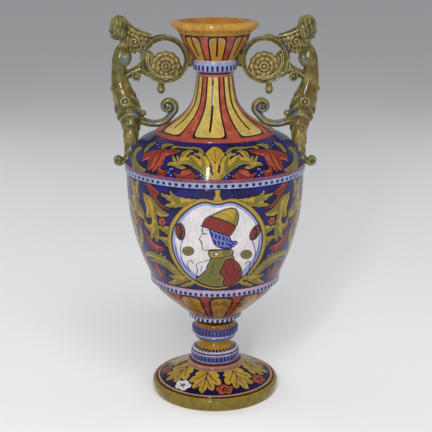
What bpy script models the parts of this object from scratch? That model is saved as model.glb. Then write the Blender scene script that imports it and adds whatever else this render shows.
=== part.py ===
"""A painted ceramic amphora: a turned, hollow vessel with two moulded figure-and-scroll handles.

The real object is one fired piece. Here it is parted at two grooves, under the bead band and under
the lower ring, into a top with the handles, a belly and a foot. Each is a turned profile, and each
handle is a set of rolled and pressed clay forms that are united with the top. Metres, +Z up, the
painted front towards -Y, the foot standing on z = 0 with the axis of the vessel on the Z axis.
"""
import math

import bmesh
import bpy
import numpy as np

# Mouth
RIM_HEIGHT = 0.6275
LIP_RADIUS = 0.0707
LIP_ROLL = 0.0065
CUP_TOP_RADIUS = 0.0583
CUP_TOP_DROP = 0.0190
CUP_TOP_HEIGHT = RIM_HEIGHT - CUP_TOP_DROP
CUP_DEPTH = 0.0420
CUP_FOOT_RADIUS = 0.0335
CUP_FOOT_HEIGHT = CUP_TOP_HEIGHT - CUP_DEPTH
CUP_BULGE = 0.0025

# Collar and neck. A wall's stations are shares of its way out and down between its two ends.
COLLAR_RADIUS = 0.0357
COLLAR_HEIGHT = 0.0165
COLLAR_EASE = 0.0030
NECK_RADIUS = 0.0298
NECK_WAIST_DROP = 0.0245
NECK_WAIST_HEIGHT = CUP_FOOT_HEIGHT - NECK_WAIST_DROP
NECK_STATIONS = [(0.0536, 0.2682), (0.1374, 0.4872), (0.2797, 0.6313), (0.4807, 0.7620), (0.7739, 0.8961)]
NECK_FOOT_RADIUS = 0.0895
NECK_FOOT_HEIGHT = 0.4525
NECK_RING_RADIUS = 0.0982
NECK_RING_ROLL = 0.0045
RING_STEP = 0.0010

# Shoulder and belly
SHOULDER_STATIONS = [(0.2549, 0.1118), (0.4968, 0.2473), (0.7516, 0.5161), (0.9136, 0.8172)]
BELLY_RADIUS = 0.1452
SHOULDER_OVERHANG = 0.0003
SHOULDER_RADIUS = BELLY_RADIUS + SHOULDER_OVERHANG
SHOULDER_FILLET_HEIGHT = 0.4015
BEAD_BAND_RISE = 0.0026
BEAD_BAND_RADIUS = BELLY_RADIUS + BEAD_BAND_RISE
BEAD_BAND_TOP = 0.3956
BEAD_BAND_WIDTH = 0.0086
BEAD_BAND_FOOT = BEAD_BAND_TOP - BEAD_BAND_WIDTH
BAND_STEP = 0.0015
BELLY_STATIONS = [(0.0136, 0.1929), (0.1281, 0.4276), (0.3651, 0.6508), (0.6594, 0.8340)]
BELLY_FOOT_RADIUS = 0.1085
BELLY_FOOT_HEIGHT = 0.2120
LOWER_RING_RADIUS = 0.1088
LOWER_RING_WIDTH = 0.0115
LOWER_RING_FOOT = BELLY_FOOT_HEIGHT - LOWER_RING_WIDTH
PART_GAP = 0.0003

# Bowl and stem
BOWL_TOP_RADIUS = 0.1035
BOWL_STATIONS = [(0.1349, 0.2484), (0.3127, 0.4281), (0.5476, 0.6487), (0.7937, 0.8562)]
BOWL_FOOT_RADIUS = 0.0405
BOWL_FOOT_HEIGHT = 0.1390
STEM_RING_RADIUS = 0.0448
STEM_RING_ROLL = 0.0038
STEM_RADIUS = 0.0270
STEM_WAIST_HEIGHT = 0.1245
KNOP_RADIUS = 0.0396
KNOP_HEIGHT = 0.1090
KNOP_ROLL_RADIUS = 0.0335
KNOP_ROLL_RISE = 0.0065
KNOP_ROLL_DROP = 0.0045
KNOP_BAND_HEIGHT = 0.0100
LOWER_WAIST_RADIUS = 0.0252
LOWER_WAIST_HEIGHT = 0.0885
LOWER_WAIST_EASE = (0.0025, 0.0050)

# Foot
COVE_RADIUS = 0.0385
COVE_HEIGHT = 0.0720
COVE_HOLLOW = (0.0020, 0.0010)
FOOT_COLLAR_RADIUS = 0.0413
FOOT_COLLAR_TOP = 0.0690
FOOT_COLLAR_BOTTOM = 0.0555
FOOT_TORUS_RADIUS = 0.0470
FOOT_TORUS_ROLL = 0.0040
FOOT_SLOPE_RADIUS = 0.0965
FOOT_SLOPE_HEIGHT = 0.0240
FOOT_SLOPE_HOLLOW = 0.0015
FOOT_RADIUS = 0.1073
FOOT_EDGE_HEIGHT = 0.0165
FOOT_EDGE_EASE = (0.0045, 0.0042)
FOOT_BASE_RADIUS = 0.1037
STANDING_RING_WIDTH = 0.0150
STANDING_RING_EASE = 0.0060

# Walls
MOUTH_WALL = 0.0065
NECK_WALL = 0.0070
BODY_WALL = 0.0085
FLOOR_THICKNESS = 0.0120
FLOOR_LIFT = 0.0040
FOOT_WALL = 0.0095
STEM_BORE_RADIUS = 0.0150
BORE_DOME = 0.0075
THROAT_DROP = 0.0100
THROAT_EASE = 0.0006
FLOOR_RADIUS = 0.0223

# Handles. The ring stands beside the collar, and the rosette and the leaf in it are placed from its
# centre. Every other place is given by its distance from the axis as a share of the way from the
# collar to the shoulder's edge, and by its height as a share of the rise from that edge to the foot
# of the cup.
HANDLE_RING_CLEARANCE = 0.0055
HANDLE_RING_DROP = 0.0010
HANDLE_RING_RADIUS = 0.0385
HANDLE_RING_BAND = 0.0085
HANDLE_RING_DEPTH = 0.0180
ROSETTE_OFFSET = (-0.0010, -0.0108)
ROSETTE_RADIUS = 0.0248
ROSETTE_DEPTH = 0.0220
ROSETTE_PETALS = 8
HEAD_PLACES = {-1: (1.0729, 1.2970), 1: (1.0182, 1.3030)}
HEAD_HEIGHT = 0.0405
HEAD_LENGTH = 0.0300
HEAD_WIDTH = 0.0290
FIGURE_DEPTH = 0.0300
SCROLL_DEPTH = 0.0160
RING_LEAF_OFFSET = (0.0243, -0.0015)
WEB_SCROLL_PLACE = (0.8452, 1.1697)
BRACKET_SCROLL_PLACE = (0.8224, 0.8224)
HIP_BUD_PLACE = (0.7450, 1.4410)
HIP_NUB_PLACE = (1.1794, 0.7121)
ARM_PLACE = (0.9727, 1.0030)
CURL_PLACE = (0.3688, 1.7254)
CURL_START_RADIUS = 0.0128
CURL_END_RADIUS = 0.0034
VOLUTE_PLACE = (1.1138, 0.0000)
VOLUTE_RADIUS = 0.0092
BOSS_PLACE = (0.9864, 0.5970)
BOSS_RADIUS = 0.0088
BOSS_RISE = 0.0065
LUTE_DEPTH = 0.0010
LUTE_LEAF_REACH = 0.0085

# Handle forms. Each row is a place, then the half width and the half depth there as shares of half
# the figure's depth, or of half the scrolls' depth for all forms but the figure. The C-scroll lies on
# the foot of the neck, so its heights, its curl's and its bud's are shares of the rise to there. A row for a
# form on the ring gives the angle round the ring in place of a place, and the bud's rows below it
# are offsets from there.
FIGURE_BODY = [
    (1.0045, 1.1909, 0.453, 0.500), (1.0064, 1.1364, 0.500, 0.520), (1.0319, 1.0758, 0.767, 0.950),
    (1.0546, 1.0030, 0.867, 1.120), (1.0774, 0.9061, 0.813, 0.940), (1.0774, 0.8091, 0.880, 0.860),
    (1.0456, 0.7121, 1.067, 0.980), (1.0045, 0.6152, 1.233, 1.080), (0.9636, 0.5121, 1.320, 1.040),
    (0.9390, 0.4394, 1.267, 0.980), (0.9208, 0.3545, 0.987, 0.900), (0.9235, 0.2515, 0.813, 0.820),
    (0.9363, 0.1182, 0.653, 0.780), (0.9727, 0.0394, 0.453, 0.740), (1.0091, -0.0091, 0.367, 0.680),
]
SHOULDER_WEB = [
    (1.0045, 1.1788, 2.188, 0.850), (0.8953, 1.1636, 2.312, 0.850), (0.7860, 1.1515, 1.875, 0.850),
]
WEB_ON_RING = (44.2, 1.000, 0.850)
NAPE_LOCK = [
    (0.9864, 1.3485, 0.750, 1.000), (0.9135, 1.2939, 0.688, 1.000), (0.8316, 1.2545, 0.625, 1.000),
    (0.7040, 1.2242, 0.500, 0.900),
]
LOCK_ON_RING = (59.0, 0.375, 0.700)
RING_BRACKET = [
    (0.9772, 0.8394, 0.750, 1.000), (0.8770, 0.8727, 0.650, 0.900), (0.7677, 0.9000, 0.725, 0.850),
    (0.6585, 0.8667, 0.750, 0.900),
]
BRACKET_ON_RING = (-61.9, 0.625, 1.000)
BRACKET_LEAF = [
    (0.7951, 0.8879, 0.938, 0.812), (0.7677, 0.9364, 0.562, 0.625), (0.7450, 0.9727, 0.150, 0.250),
]
BUD_ON_RING = (-80.4, 0.875, 0.812)
RING_BUD = [(0.0018, -0.0077, 0.600, 0.600), (0.0018, -0.0142, 0.900, 0.900), (0.0018, -0.0214, 0.375, 0.375)]
LOWER_SCROLL_ROOT = [(0.8589, 0.4242, 1.000, 1.050)]
LOWER_SCROLL_STEM = [
    (0.7404, 1.2550, 0.825, 1.040), (0.6129, 1.1864, 0.750, 1.020), (0.4854, 1.2019, 0.750, 1.010),
    (0.3806, 1.3038, 0.750, 1.000),
]
FACE_SHARES = (0.52, 0.66, 0.72)
RING_SECTION = [(-1.0, 0.60), (-0.50, 1.0), (0.20, 0.80), (1.0, 0.72)]
HEAD_SECTIONS = [
    (-0.07, 1.00, 0.35), (0.03, 0.88, 0.72), (0.08, 0.55, 0.98), (0.07, 0.10, 1.02),
    (0.03, -0.40, 0.98), (0.07, -0.78, 0.80), (0.10, -0.90, 0.55),
]

# Facets
TURNED_STEPS = 24
RING_STEPS = 18
SHORTEST_EDGE = 0.00003


def clear_scene():
    """Empty the scene without closing the file."""
    for item in list(bpy.data.objects):
        bpy.data.objects.remove(item, do_unlink=True)


def glaze_material(name, colour, roughness):
    """A glossy fired glaze of one colour."""
    material = bpy.data.materials.new(name)
    material.use_nodes = True
    shader = material.node_tree.nodes["Principled BSDF"]
    shader.inputs["Base Color"].default_value = (*colour, 1.0)
    shader.inputs["Roughness"].default_value = roughness
    shader.inputs["Metallic"].default_value = 0.0
    return material


def arc(centre, radius, start, end, steps):
    """Points on a circle in the profile plane, from one angle in degrees to another."""
    angles = np.radians(np.linspace(start, end, steps + 1))
    return np.stack([centre[0] + radius * np.cos(angles), centre[1] + radius * np.sin(angles)], 1)


def bulged_line(start, end, bulge, steps):
    """A line from start to end that swells sideways by bulge at its middle."""
    start, end = np.array(start), np.array(end)
    share = np.linspace(0, 1, steps + 1)[:, None]
    along = end - start
    side = np.array([-along[1], along[0]]) / np.linalg.norm(along)
    return start + along * share + side * bulge * 4 * share * (1 - share)


def offset_inside(outline, wall):
    """The outline moved by the wall's thickness towards the axis, square to its own direction."""
    along = np.gradient(outline, axis=0)
    along /= np.linalg.norm(along, axis=1)[:, None]
    return outline + np.stack([along[:, 1], -along[:, 0]], 1) * wall


def wall_curve(top, foot, stations):
    """A wall's outline from its top down to its foot, through stations given as shares of the way."""
    top, foot = np.array(top), np.array(foot)
    return np.vstack([top, top + (foot - top) * np.array(stations), foot])


def cup_outline():
    """The outside of the cup-shaped mouth, from under the lip down to the collar."""
    top = (CUP_TOP_RADIUS, CUP_TOP_HEIGHT)
    return bulged_line(top, (CUP_FOOT_RADIUS, CUP_FOOT_HEIGHT), CUP_BULGE, 2)


def neck_outline():
    """The outside of the neck, from its waist down to where it spreads over the shoulder."""
    return wall_curve((NECK_RADIUS, NECK_WAIST_HEIGHT), (NECK_FOOT_RADIUS, NECK_FOOT_HEIGHT), NECK_STATIONS)


def shoulder_outline():
    """The outside of the shoulder, from the neck ring down to its widest edge."""
    top = (NECK_RING_RADIUS + RING_STEP, NECK_FOOT_HEIGHT - NECK_RING_ROLL)
    return wall_curve(top, (SHOULDER_RADIUS, SHOULDER_FILLET_HEIGHT), SHOULDER_STATIONS)


def belly_outline():
    """The outside of the belly, from under the bead band down to the lower ring."""
    top = (BELLY_RADIUS, BEAD_BAND_FOOT - PART_GAP)
    return wall_curve(top, (BELLY_FOOT_RADIUS, BELLY_FOOT_HEIGHT), BELLY_STATIONS)


def bowl_outline():
    """The outside of the bowl, from under the lower ring down to the stem ring."""
    top = (BOWL_TOP_RADIUS, LOWER_RING_FOOT - PART_GAP)
    return wall_curve(top, (BOWL_FOOT_RADIUS, BOWL_FOOT_HEIGHT), BOWL_STATIONS)


def band(radius, top, bottom):
    """A flat raised band."""
    return np.array([(radius, top), (radius, bottom)])


def mouth_profile():
    """Lip roll, cup and collar, down the outside."""
    lip_centre = (LIP_RADIUS - LIP_ROLL, RIM_HEIGHT - LIP_ROLL)
    lip = arc(lip_centre, LIP_ROLL, 90, -70, 3)
    collar_top = CUP_FOOT_HEIGHT - RING_STEP
    collar_foot = collar_top - COLLAR_HEIGHT
    collar = np.array([
        (COLLAR_RADIUS - COLLAR_EASE, collar_top),
        (COLLAR_RADIUS, collar_top - COLLAR_EASE),
        (COLLAR_RADIUS, collar_foot + COLLAR_EASE),
        (COLLAR_RADIUS - COLLAR_EASE, collar_foot),
    ])
    return [lip, cup_outline()[:-1], collar]


def shoulder_profile():
    """Neck, neck ring, shoulder and bead band, down the outside."""
    ring_centre = (NECK_RING_RADIUS - NECK_RING_ROLL, NECK_FOOT_HEIGHT - NECK_RING_ROLL)
    ring = arc(ring_centre, NECK_RING_ROLL, 100, -40, 2)
    beads = band(BEAD_BAND_RADIUS, BEAD_BAND_TOP, BEAD_BAND_FOOT)
    return [neck_outline(), ring, shoulder_outline()[1:], beads]


def stem_profile():
    """Stem ring, waist, knop and lower waist, down the outside."""
    ring_centre = (STEM_RING_RADIUS - STEM_RING_ROLL, BOWL_FOOT_HEIGHT - STEM_RING_ROLL)
    ring = arc(ring_centre, STEM_RING_ROLL, 70, -70, 2)
    half_band = KNOP_BAND_HEIGHT / 2
    knop = np.array([
        (STEM_RADIUS, STEM_WAIST_HEIGHT),
        (KNOP_ROLL_RADIUS, KNOP_HEIGHT + half_band + KNOP_ROLL_RISE),
        (KNOP_RADIUS, KNOP_HEIGHT + half_band),
        (KNOP_RADIUS, KNOP_HEIGHT - half_band),
        (KNOP_ROLL_RADIUS, KNOP_HEIGHT - half_band - KNOP_ROLL_DROP),
        (LOWER_WAIST_RADIUS + LOWER_WAIST_EASE[0], LOWER_WAIST_HEIGHT + LOWER_WAIST_EASE[1]),
        (LOWER_WAIST_RADIUS, LOWER_WAIST_HEIGHT),
    ])
    return [ring, knop]


def foot_profile():
    """Cove, collar, torus, painted slope and edge of the foot, down the outside to the ground."""
    cove_foot = np.array([COVE_RADIUS, COVE_HEIGHT])
    cove = np.array([(cove_foot + (LOWER_WAIST_RADIUS, LOWER_WAIST_HEIGHT)) / 2 - COVE_HOLLOW, cove_foot])
    collar = band(FOOT_COLLAR_RADIUS, FOOT_COLLAR_TOP, FOOT_COLLAR_BOTTOM)
    torus_height = FOOT_COLLAR_BOTTOM - FOOT_TORUS_ROLL - RING_STEP
    torus = arc((FOOT_TORUS_RADIUS - FOOT_TORUS_ROLL, torus_height), FOOT_TORUS_ROLL, 60, -50, 2)
    slope_top = (FOOT_TORUS_RADIUS + RING_STEP / 2, torus_height - FOOT_TORUS_ROLL + RING_STEP / 2)
    slope = bulged_line(slope_top, (FOOT_SLOPE_RADIUS, FOOT_SLOPE_HEIGHT), -FOOT_SLOPE_HOLLOW, 2)
    edge = np.array([
        (FOOT_RADIUS - FOOT_EDGE_EASE[0], FOOT_EDGE_HEIGHT + FOOT_EDGE_EASE[1]),
        (FOOT_RADIUS, FOOT_EDGE_HEIGHT),
        (FOOT_BASE_RADIUS, 0.0),
    ])
    return [cove, collar, torus, slope, edge]


def underside_profile():
    """The hollow under the foot, from the standing ring up into the stem and in to the axis."""
    ring_inside = FOOT_BASE_RADIUS - STANDING_RING_WIDTH
    roof = BOWL_FOOT_HEIGHT - FLOOR_THICKNESS + FLOOR_LIFT
    return [np.array([
        (ring_inside, 0.0),
        (ring_inside - STANDING_RING_EASE, FOOT_SLOPE_HEIGHT - FOOT_WALL + BAND_STEP),
        (FOOT_COLLAR_RADIUS - RING_STEP, FOOT_COLLAR_BOTTOM - 2 * FOOT_TORUS_ROLL - FOOT_WALL),
        (FOOT_COLLAR_RADIUS - FOOT_WALL, FOOT_COLLAR_BOTTOM),
        (STEM_BORE_RADIUS, LOWER_WAIST_HEIGHT),
        (STEM_BORE_RADIUS, roof - BORE_DOME),
        (0.0, roof),
    ])]


def top_section():
    """The section of the top: up its inside, over the lip, and down the outside to the bead band."""
    mouth = [(LIP_RADIUS - 2 * LIP_ROLL, RIM_HEIGHT - LIP_ROLL)]
    cup = offset_inside(cup_outline(), MOUTH_WALL)[:-1:2]
    throat = [(NECK_RADIUS - NECK_WALL + THROAT_EASE, CUP_FOOT_HEIGHT - THROAT_DROP)]
    neck = offset_inside(neck_outline(), NECK_WALL)[:-1:2]
    shoulder = offset_inside(shoulder_outline(), BODY_WALL)[1::2]
    edge = [(SHOULDER_RADIUS - BODY_WALL, BEAD_BAND_FOOT)]
    inside = np.vstack([mouth, cup, throat, neck, shoulder, edge])[::-1]
    return np.vstack([inside] + mouth_profile() + shoulder_profile())


def belly_section():
    """The section of the belly, up its inside and down its outside over the lower ring."""
    outside = belly_outline()
    top = [(BELLY_RADIUS - BODY_WALL, outside[0, 1])]
    foot = [(BOWL_TOP_RADIUS - BODY_WALL, LOWER_RING_FOOT)]
    inside = np.vstack([top, offset_inside(outside, BODY_WALL)[2::2], foot])[::-1]
    return np.vstack([inside, outside, band(LOWER_RING_RADIUS, BELLY_FOOT_HEIGHT - RING_STEP, LOWER_RING_FOOT)])


def foot_section():
    """The section of bowl, stem and foot: out over the floor, down the outside and in underneath."""
    floor = BOWL_FOOT_HEIGHT + FLOOR_LIFT
    outside = bowl_outline()
    top = [(BOWL_TOP_RADIUS - BODY_WALL, outside[0, 1])]
    bowl = offset_inside(outside, BODY_WALL)[2:-1:2]
    inside = np.vstack([top, bowl, [(FLOOR_RADIUS, floor), (0.0, floor)]])[::-1]
    return np.vstack([inside, outside] + stem_profile() + foot_profile() + underside_profile())


def mesh_object(name, vertices, faces):
    """An object from vertices and faces, with its faces turned outwards."""
    mesh = bpy.data.meshes.new(name)
    mesh.from_pydata(np.asarray(vertices, float).tolist(), [], faces)
    shape = bmesh.new()
    shape.from_mesh(mesh)
    bmesh.ops.recalc_face_normals(shape, faces=shape.faces)
    shape.to_mesh(mesh)
    shape.free()
    item = bpy.data.objects.new(name, mesh)
    bpy.context.scene.collection.objects.link(item)
    return item


def turned(name, section, ring=False):
    """A section turned about the Z axis by a Screw modifier. A ring's section is a closed line."""
    mesh = bpy.data.meshes.new(name)
    corners = [(r, 0.0, z) for r, z in section.tolist()]
    edges = [(i, i + 1) for i in range(len(corners) - 1)]
    if ring:
        edges.append((len(corners) - 1, 0))
    mesh.from_pydata(corners, edges, [])
    item = bpy.data.objects.new(name, mesh)
    bpy.context.scene.collection.objects.link(item)
    turn = item.modifiers.new("turning", "SCREW")
    turn.steps = TURNED_STEPS
    turn.render_steps = TURNED_STEPS
    turn.use_merge_vertices = True
    turn.merge_threshold = 0.00001
    turn.use_smooth_shade = True
    return item


def tube_mesh(rings):
    """Vertices and faces of a closed tube through rings of equally many points."""
    count, sides, _ = rings.shape
    corner = np.arange(count * sides).reshape(count, sides)
    after = np.roll(corner, -1, axis=1)
    quads = np.stack([corner[:-1], after[:-1], after[1:], corner[1:]], -1).reshape(-1, 4)
    faces = quads.tolist() + [corner[0][::-1].tolist(), corner[-1].tolist()]
    return rings.reshape(-1, 3), faces


def capped_rings(rings, first_pole, last_pole):
    """Vertices and faces of a closed form through rings of equally many points, with a pole at each end."""
    count, sides, _ = rings.shape
    corner = 1 + np.arange(count * sides).reshape(count, sides)
    after = np.roll(corner, -1, axis=1)
    quads = np.stack([corner[:-1], after[:-1], after[1:], corner[1:]], -1).reshape(-1, 4).tolist()
    last = 1 + count * sides
    caps = [(0, a, b) for a, b in zip(after[0].tolist(), corner[0].tolist())]
    caps += [(last, a, b) for a, b in zip(corner[-1].tolist(), after[-1].tolist())]
    return np.vstack([[first_pole], rings.reshape(-1, 3), [last_pole]]), quads + caps


def at(place, top=CUP_FOOT_HEIGHT):
    """A place in the handle's plane, from its shares to its distance from the axis and its height."""
    out = COLLAR_RADIUS + (SHOULDER_RADIUS - COLLAR_RADIUS) * place[0]
    up = SHOULDER_FILLET_HEIGHT + (top - SHOULDER_FILLET_HEIGHT) * place[1]
    return np.array([out, up])


def ring_centre():
    """The centre of the ring beside the collar."""
    out = COLLAR_RADIUS + HANDLE_RING_CLEARANCE + HANDLE_RING_RADIUS
    return np.array([out, CUP_FOOT_HEIGHT - HANDLE_RING_DROP])


def table_path(rows, half, top=CUP_FOOT_HEIGHT):
    """Distance, height, half width and half depth along a form, from its rows of shares."""
    return np.array([[*at(row, top), half * row[2], half * row[3]] for row in rows])


def on_ring(row, half):
    """One such row for a form that meets the middle of the ring's band, at an angle in degrees."""
    angle = math.radians(row[0])
    reach = HANDLE_RING_RADIUS - HANDLE_RING_BAND / 2
    place = ring_centre() + reach * np.array([math.cos(angle), math.sin(angle)])
    return np.array([[*place, half * row[1], half * row[2]]])


def spiral_path(centre, radii, angles, widths, depths, steps):
    """The same four numbers along a spiral that winds in from its first angle in degrees."""
    radius = np.linspace(*radii, steps + 1)
    angle = np.radians(np.linspace(*angles, steps + 1))
    out = centre[0] + radius * np.cos(angle)
    up = centre[1] + radius * np.sin(angle)
    return np.column_stack([out, up, np.linspace(*widths, steps + 1), np.linspace(*depths, steps + 1)])


def sweep(name, path, side, sides=6, square=1.0):
    """A rolled form along a path in the handle's plane, oval in section.

    The section's half width lies in the plane and its half depth along Y. Both follow the path.
    A square share under 1 flattens the oval towards a rounded rectangle.
    """
    along = np.gradient(path[:, :2], axis=0)
    along /= np.linalg.norm(along, axis=1)[:, None]
    across = np.stack([along[:, 1], -along[:, 0]], 1)
    turn = (np.arange(sides) + 0.5) * 2 * math.pi / sides
    cosine = np.sign(np.cos(turn)) * np.abs(np.cos(turn)) ** square
    sine = np.sign(np.sin(turn)) * np.abs(np.sin(turn)) ** square
    flat = path[:, None, :2] + across[:, None] * path[:, None, 2:3] * cosine[None, :, None]
    deep = path[:, 3:4] * sine[None]
    rings = np.stack([side * flat[..., 0], deep, flat[..., 1]], -1)
    return mesh_object(name, *tube_mesh(rings))


def ball(name, place, halves, side, sides=6, deep=0.0):
    """A closed oval form of three half sizes (out, deep, up), at a place or beside it by deep."""
    lean = np.radians([45, 0, -45])[:, None]
    turn = (np.arange(sides) * 2 * math.pi / sides)[None]
    out = place[0] + halves[0] * np.cos(lean) * np.cos(turn)
    across = deep + halves[1] * np.cos(lean) * np.sin(turn)
    up = place[1] + halves[2] * np.sin(lean) * np.ones_like(turn)
    rings = np.stack([side * out, across, up], -1)
    poles = [(side * place[0], deep, place[1] + halves[2]), (side * place[0], deep, place[1] - halves[2])]
    return mesh_object(name, *capped_rings(rings, *poles))


def ring_scroll(side):
    """The large grooved ring beside the mouth."""
    centre = ring_centre()
    band_half = HANDLE_RING_BAND / 2
    section = np.array(RING_SECTION)
    section = np.vstack([section, section[::-1] * (1, -1)])
    turn = np.arange(RING_STEPS) * 2 * math.pi / RING_STEPS
    reach = HANDLE_RING_RADIUS - band_half + section[:, 0] * band_half
    out = centre[0] + np.cos(turn)[:, None] * reach
    up = centre[1] + np.sin(turn)[:, None] * reach
    deep = np.broadcast_to(section[:, 1] * HANDLE_RING_DEPTH / 2, out.shape)
    rings = np.stack([side * out, deep, up], -1)
    corner = np.arange(out.size).reshape(out.shape)
    after = np.roll(corner, -1, axis=1)
    quads = np.stack([corner, after, np.roll(after, -1, axis=0), np.roll(corner, -1, axis=0)], -1)
    return mesh_object("ring_scroll", rings.reshape(-1, 3), quads.reshape(-1, 4).tolist())


def rosette(side):
    """The pressed flower inside the ring: a boss, inner petals and scalloped outer petals, on both faces."""
    centre = ring_centre() + ROSETTE_OFFSET
    shares = np.array([0.26, 0.40, 0.78, 1.0])[:, None]
    rises = np.array([0.92, 0.62, 0.86, 0.34])[:, None]
    pinch = np.array([0.0, 0.0, 0.20, 0.06])[:, None]
    notch = np.array([0.0, 0.0, 0.0, 0.07])[:, None]
    count = 2 * ROSETTE_PETALS
    turn = np.arange(count) * 2 * math.pi / count
    crease = (np.arange(count) % 2).astype(float)
    reach = ROSETTE_RADIUS * shares * (1 - notch * crease)
    rise = ROSETTE_DEPTH / 2 * (rises - pinch * crease)
    out = centre[0] + reach * np.cos(turn)
    up = centre[1] + reach * np.sin(turn)
    front = np.stack([side * out, -rise, up], -1)
    rings = np.concatenate([front, (front * (1, -1, 1))[::-1]])
    middle = np.array([side * centre[0], -ROSETTE_DEPTH / 2, centre[1]])
    return mesh_object("rosette", *capped_rings(rings, middle, middle * (1, -1, 1)))


def figure_body(side):
    """The armless figure from its neck down to the tail that lies on the shoulder."""
    return sweep("figure_body", table_path(FIGURE_BODY, FIGURE_DEPTH / 2), side, sides=8, square=0.85)


def figure_head(side):
    """The head with its bobbed hair."""
    out, up = at(HEAD_PLACES[side])
    half = np.array([HEAD_LENGTH, HEAD_HEIGHT, HEAD_WIDTH]) / 2
    shares = np.array(HEAD_SECTIONS)
    places = [out + half[0] * shares[:, 0], up + half[1] * shares[:, 1]]
    path = np.column_stack(places + [half[0] * shares[:, 2], half[2] * shares[:, 2]])
    return sweep("figure_head", path, side, sides=8)


def figure_face(side):
    """The face as a smooth oval mask that stands out between the locks of hair."""
    out, up = at(HEAD_PLACES[side])
    half = np.array([HEAD_LENGTH, HEAD_WIDTH, HEAD_HEIGHT]) / 2
    return ball("figure_face", (out + 0.57 * half[0], up - 0.17 * half[2]), half * FACE_SHARES, side)


def figure_arms(side):
    """The two arm stumps, each side of the trunk, pointing down."""
    half = FIGURE_DEPTH / 2
    halves = np.array([0.57, 0.40, 0.77]) * half
    return [ball("arm_stump", at(ARM_PLACE), halves, side, deep=deep * half * 0.72) for deep in (-1, 1)]


def hip_nub(side):
    """The small knot of drapery on the outer side of the hip."""
    return ball("hip_nub", at(HIP_NUB_PLACE), np.array([0.30, 0.40, 0.37]) * FIGURE_DEPTH / 2, side)


def figure_bosses(side):
    """A round boss on each side of the hip."""
    half = FIGURE_DEPTH / 2
    halves = (BOSS_RADIUS, BOSS_RISE, BOSS_RADIUS)
    return [ball("hip_boss", at(BOSS_PLACE), halves, side, deep=deep * half) for deep in (-1, 1)]


def scroll_forms(side):
    """The web at the nape, the lock of hair over it, and the bracket between trunk and ring."""
    half = SCROLL_DEPTH / 2
    bud = on_ring(BUD_ON_RING, half)
    bud_rows = np.array(RING_BUD) * (1, 1, half, half) + (*bud[0, :2], 0, 0)
    paths = {
        "shoulder_web": np.vstack([table_path(SHOULDER_WEB, half), on_ring(WEB_ON_RING, half)]),
        "nape_lock": np.vstack([table_path(NAPE_LOCK, half), on_ring(LOCK_ON_RING, half)]),
        "ring_bracket": np.vstack([table_path(RING_BRACKET, half), on_ring(BRACKET_ON_RING, half)]),
        "bracket_leaf": table_path(BRACKET_LEAF, half),
        "ring_bud": np.vstack([bud, bud_rows]),
    }
    return [sweep(name, path, side) for name, path in paths.items()]


def leaf_forms(side):
    """The small pressed forms: the web's scroll, the leaf in the ring and the bud above the C-scroll."""
    half = SCROLL_DEPTH / 2
    return [
        ball("web_scroll", at(WEB_SCROLL_PLACE), np.array([1.10, 1.36, 1.10]) * half, side, sides=8),
        ball("ring_leaf", ring_centre() + RING_LEAF_OFFSET, np.array([1.06, 0.84, 1.88]) * half, side, sides=8),
        ball("hip_bud", at(HIP_BUD_PLACE, NECK_FOOT_HEIGHT), np.array([0.80, 0.69, 0.68]) * half, side),
    ]


def lute_leaf(side):
    """The leaf that lutes the ring to the foot of the cup."""
    half = SCROLL_DEPTH / 2
    place = (CUP_FOOT_RADIUS + LUTE_LEAF_REACH - LUTE_DEPTH, CUP_FOOT_HEIGHT + RING_STEP)
    return ball("lute_leaf", place, (LUTE_LEAF_REACH, 0.80 * half, 1.75 * half), side)


def bracket_scroll(side):
    """The small open scroll that hangs under the bracket."""
    half = SCROLL_DEPTH / 2
    radii = (0.98 * half, 0.38 * half)
    widths = (0.32 * half, 0.30 * half)
    depths = (0.88 * half, 0.75 * half)
    path = spiral_path(at(BRACKET_SCROLL_PLACE), radii, (150, -280), widths, depths, 9)
    return sweep("bracket_scroll", path, side)


def lower_scroll(side):
    """The C-scroll that springs from the hip, lies on the neck's foot and curls up beside the neck."""
    half = SCROLL_DEPTH / 2
    root = table_path(LOWER_SCROLL_ROOT, half)
    stem = table_path(LOWER_SCROLL_STEM, half, NECK_FOOT_HEIGHT)
    radii = (CURL_START_RADIUS, CURL_END_RADIUS)
    widths = (0.70 * half, 0.42 * half)
    curl = spiral_path(at(CURL_PLACE, NECK_FOOT_HEIGHT), radii, (212, -188), widths, (half, 0.85 * half), 9)
    return sweep("lower_scroll", np.vstack([root, stem, curl]), side, sides=8)


def foot_volute(side):
    """The roll at the figure's foot, turned outwards over the edge of the shoulder."""
    half = SCROLL_DEPTH / 2
    radii = (VOLUTE_RADIUS * 0.62, VOLUTE_RADIUS * 0.25)
    widths = (0.72 * half, 0.38 * half)
    depths = (1.30 * half, 1.19 * half)
    curl = spiral_path(at(VOLUTE_PLACE), radii, (215, 545), widths, depths, 6)
    root = at(VOLUTE_PLACE) + (-1.52 * VOLUTE_RADIUS, 0.38 * VOLUTE_RADIUS)
    return sweep("foot_volute", np.vstack([[*root, 0.78 * half, 1.31 * half], curl]), side)


def handle(side):
    """All the forms of one handle; side is +1 towards +X and -1 towards -X."""
    scrolls = [ring_scroll(side), rosette(side), lute_leaf(side), bracket_scroll(side), lower_scroll(side)]
    figure = [figure_body(side), figure_head(side), figure_face(side), hip_nub(side), foot_volute(side)]
    return scrolls + figure + scroll_forms(side) + leaf_forms(side) + figure_arms(side) + figure_bosses(side)


def unite(base, forms):
    """Unite the forms with the base one after the other, and hide the forms as guides."""
    for form in forms:
        form.hide_render = True
        form.display_type = "WIRE"
        join = base.modifiers.new("luting", "BOOLEAN")
        join.operation = "UNION"
        join.solver = "EXACT"
        join.object = form
    tidy = base.modifiers.new("short_edges", "WELD")
    tidy.merge_threshold = SHORTEST_EDGE


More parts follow.
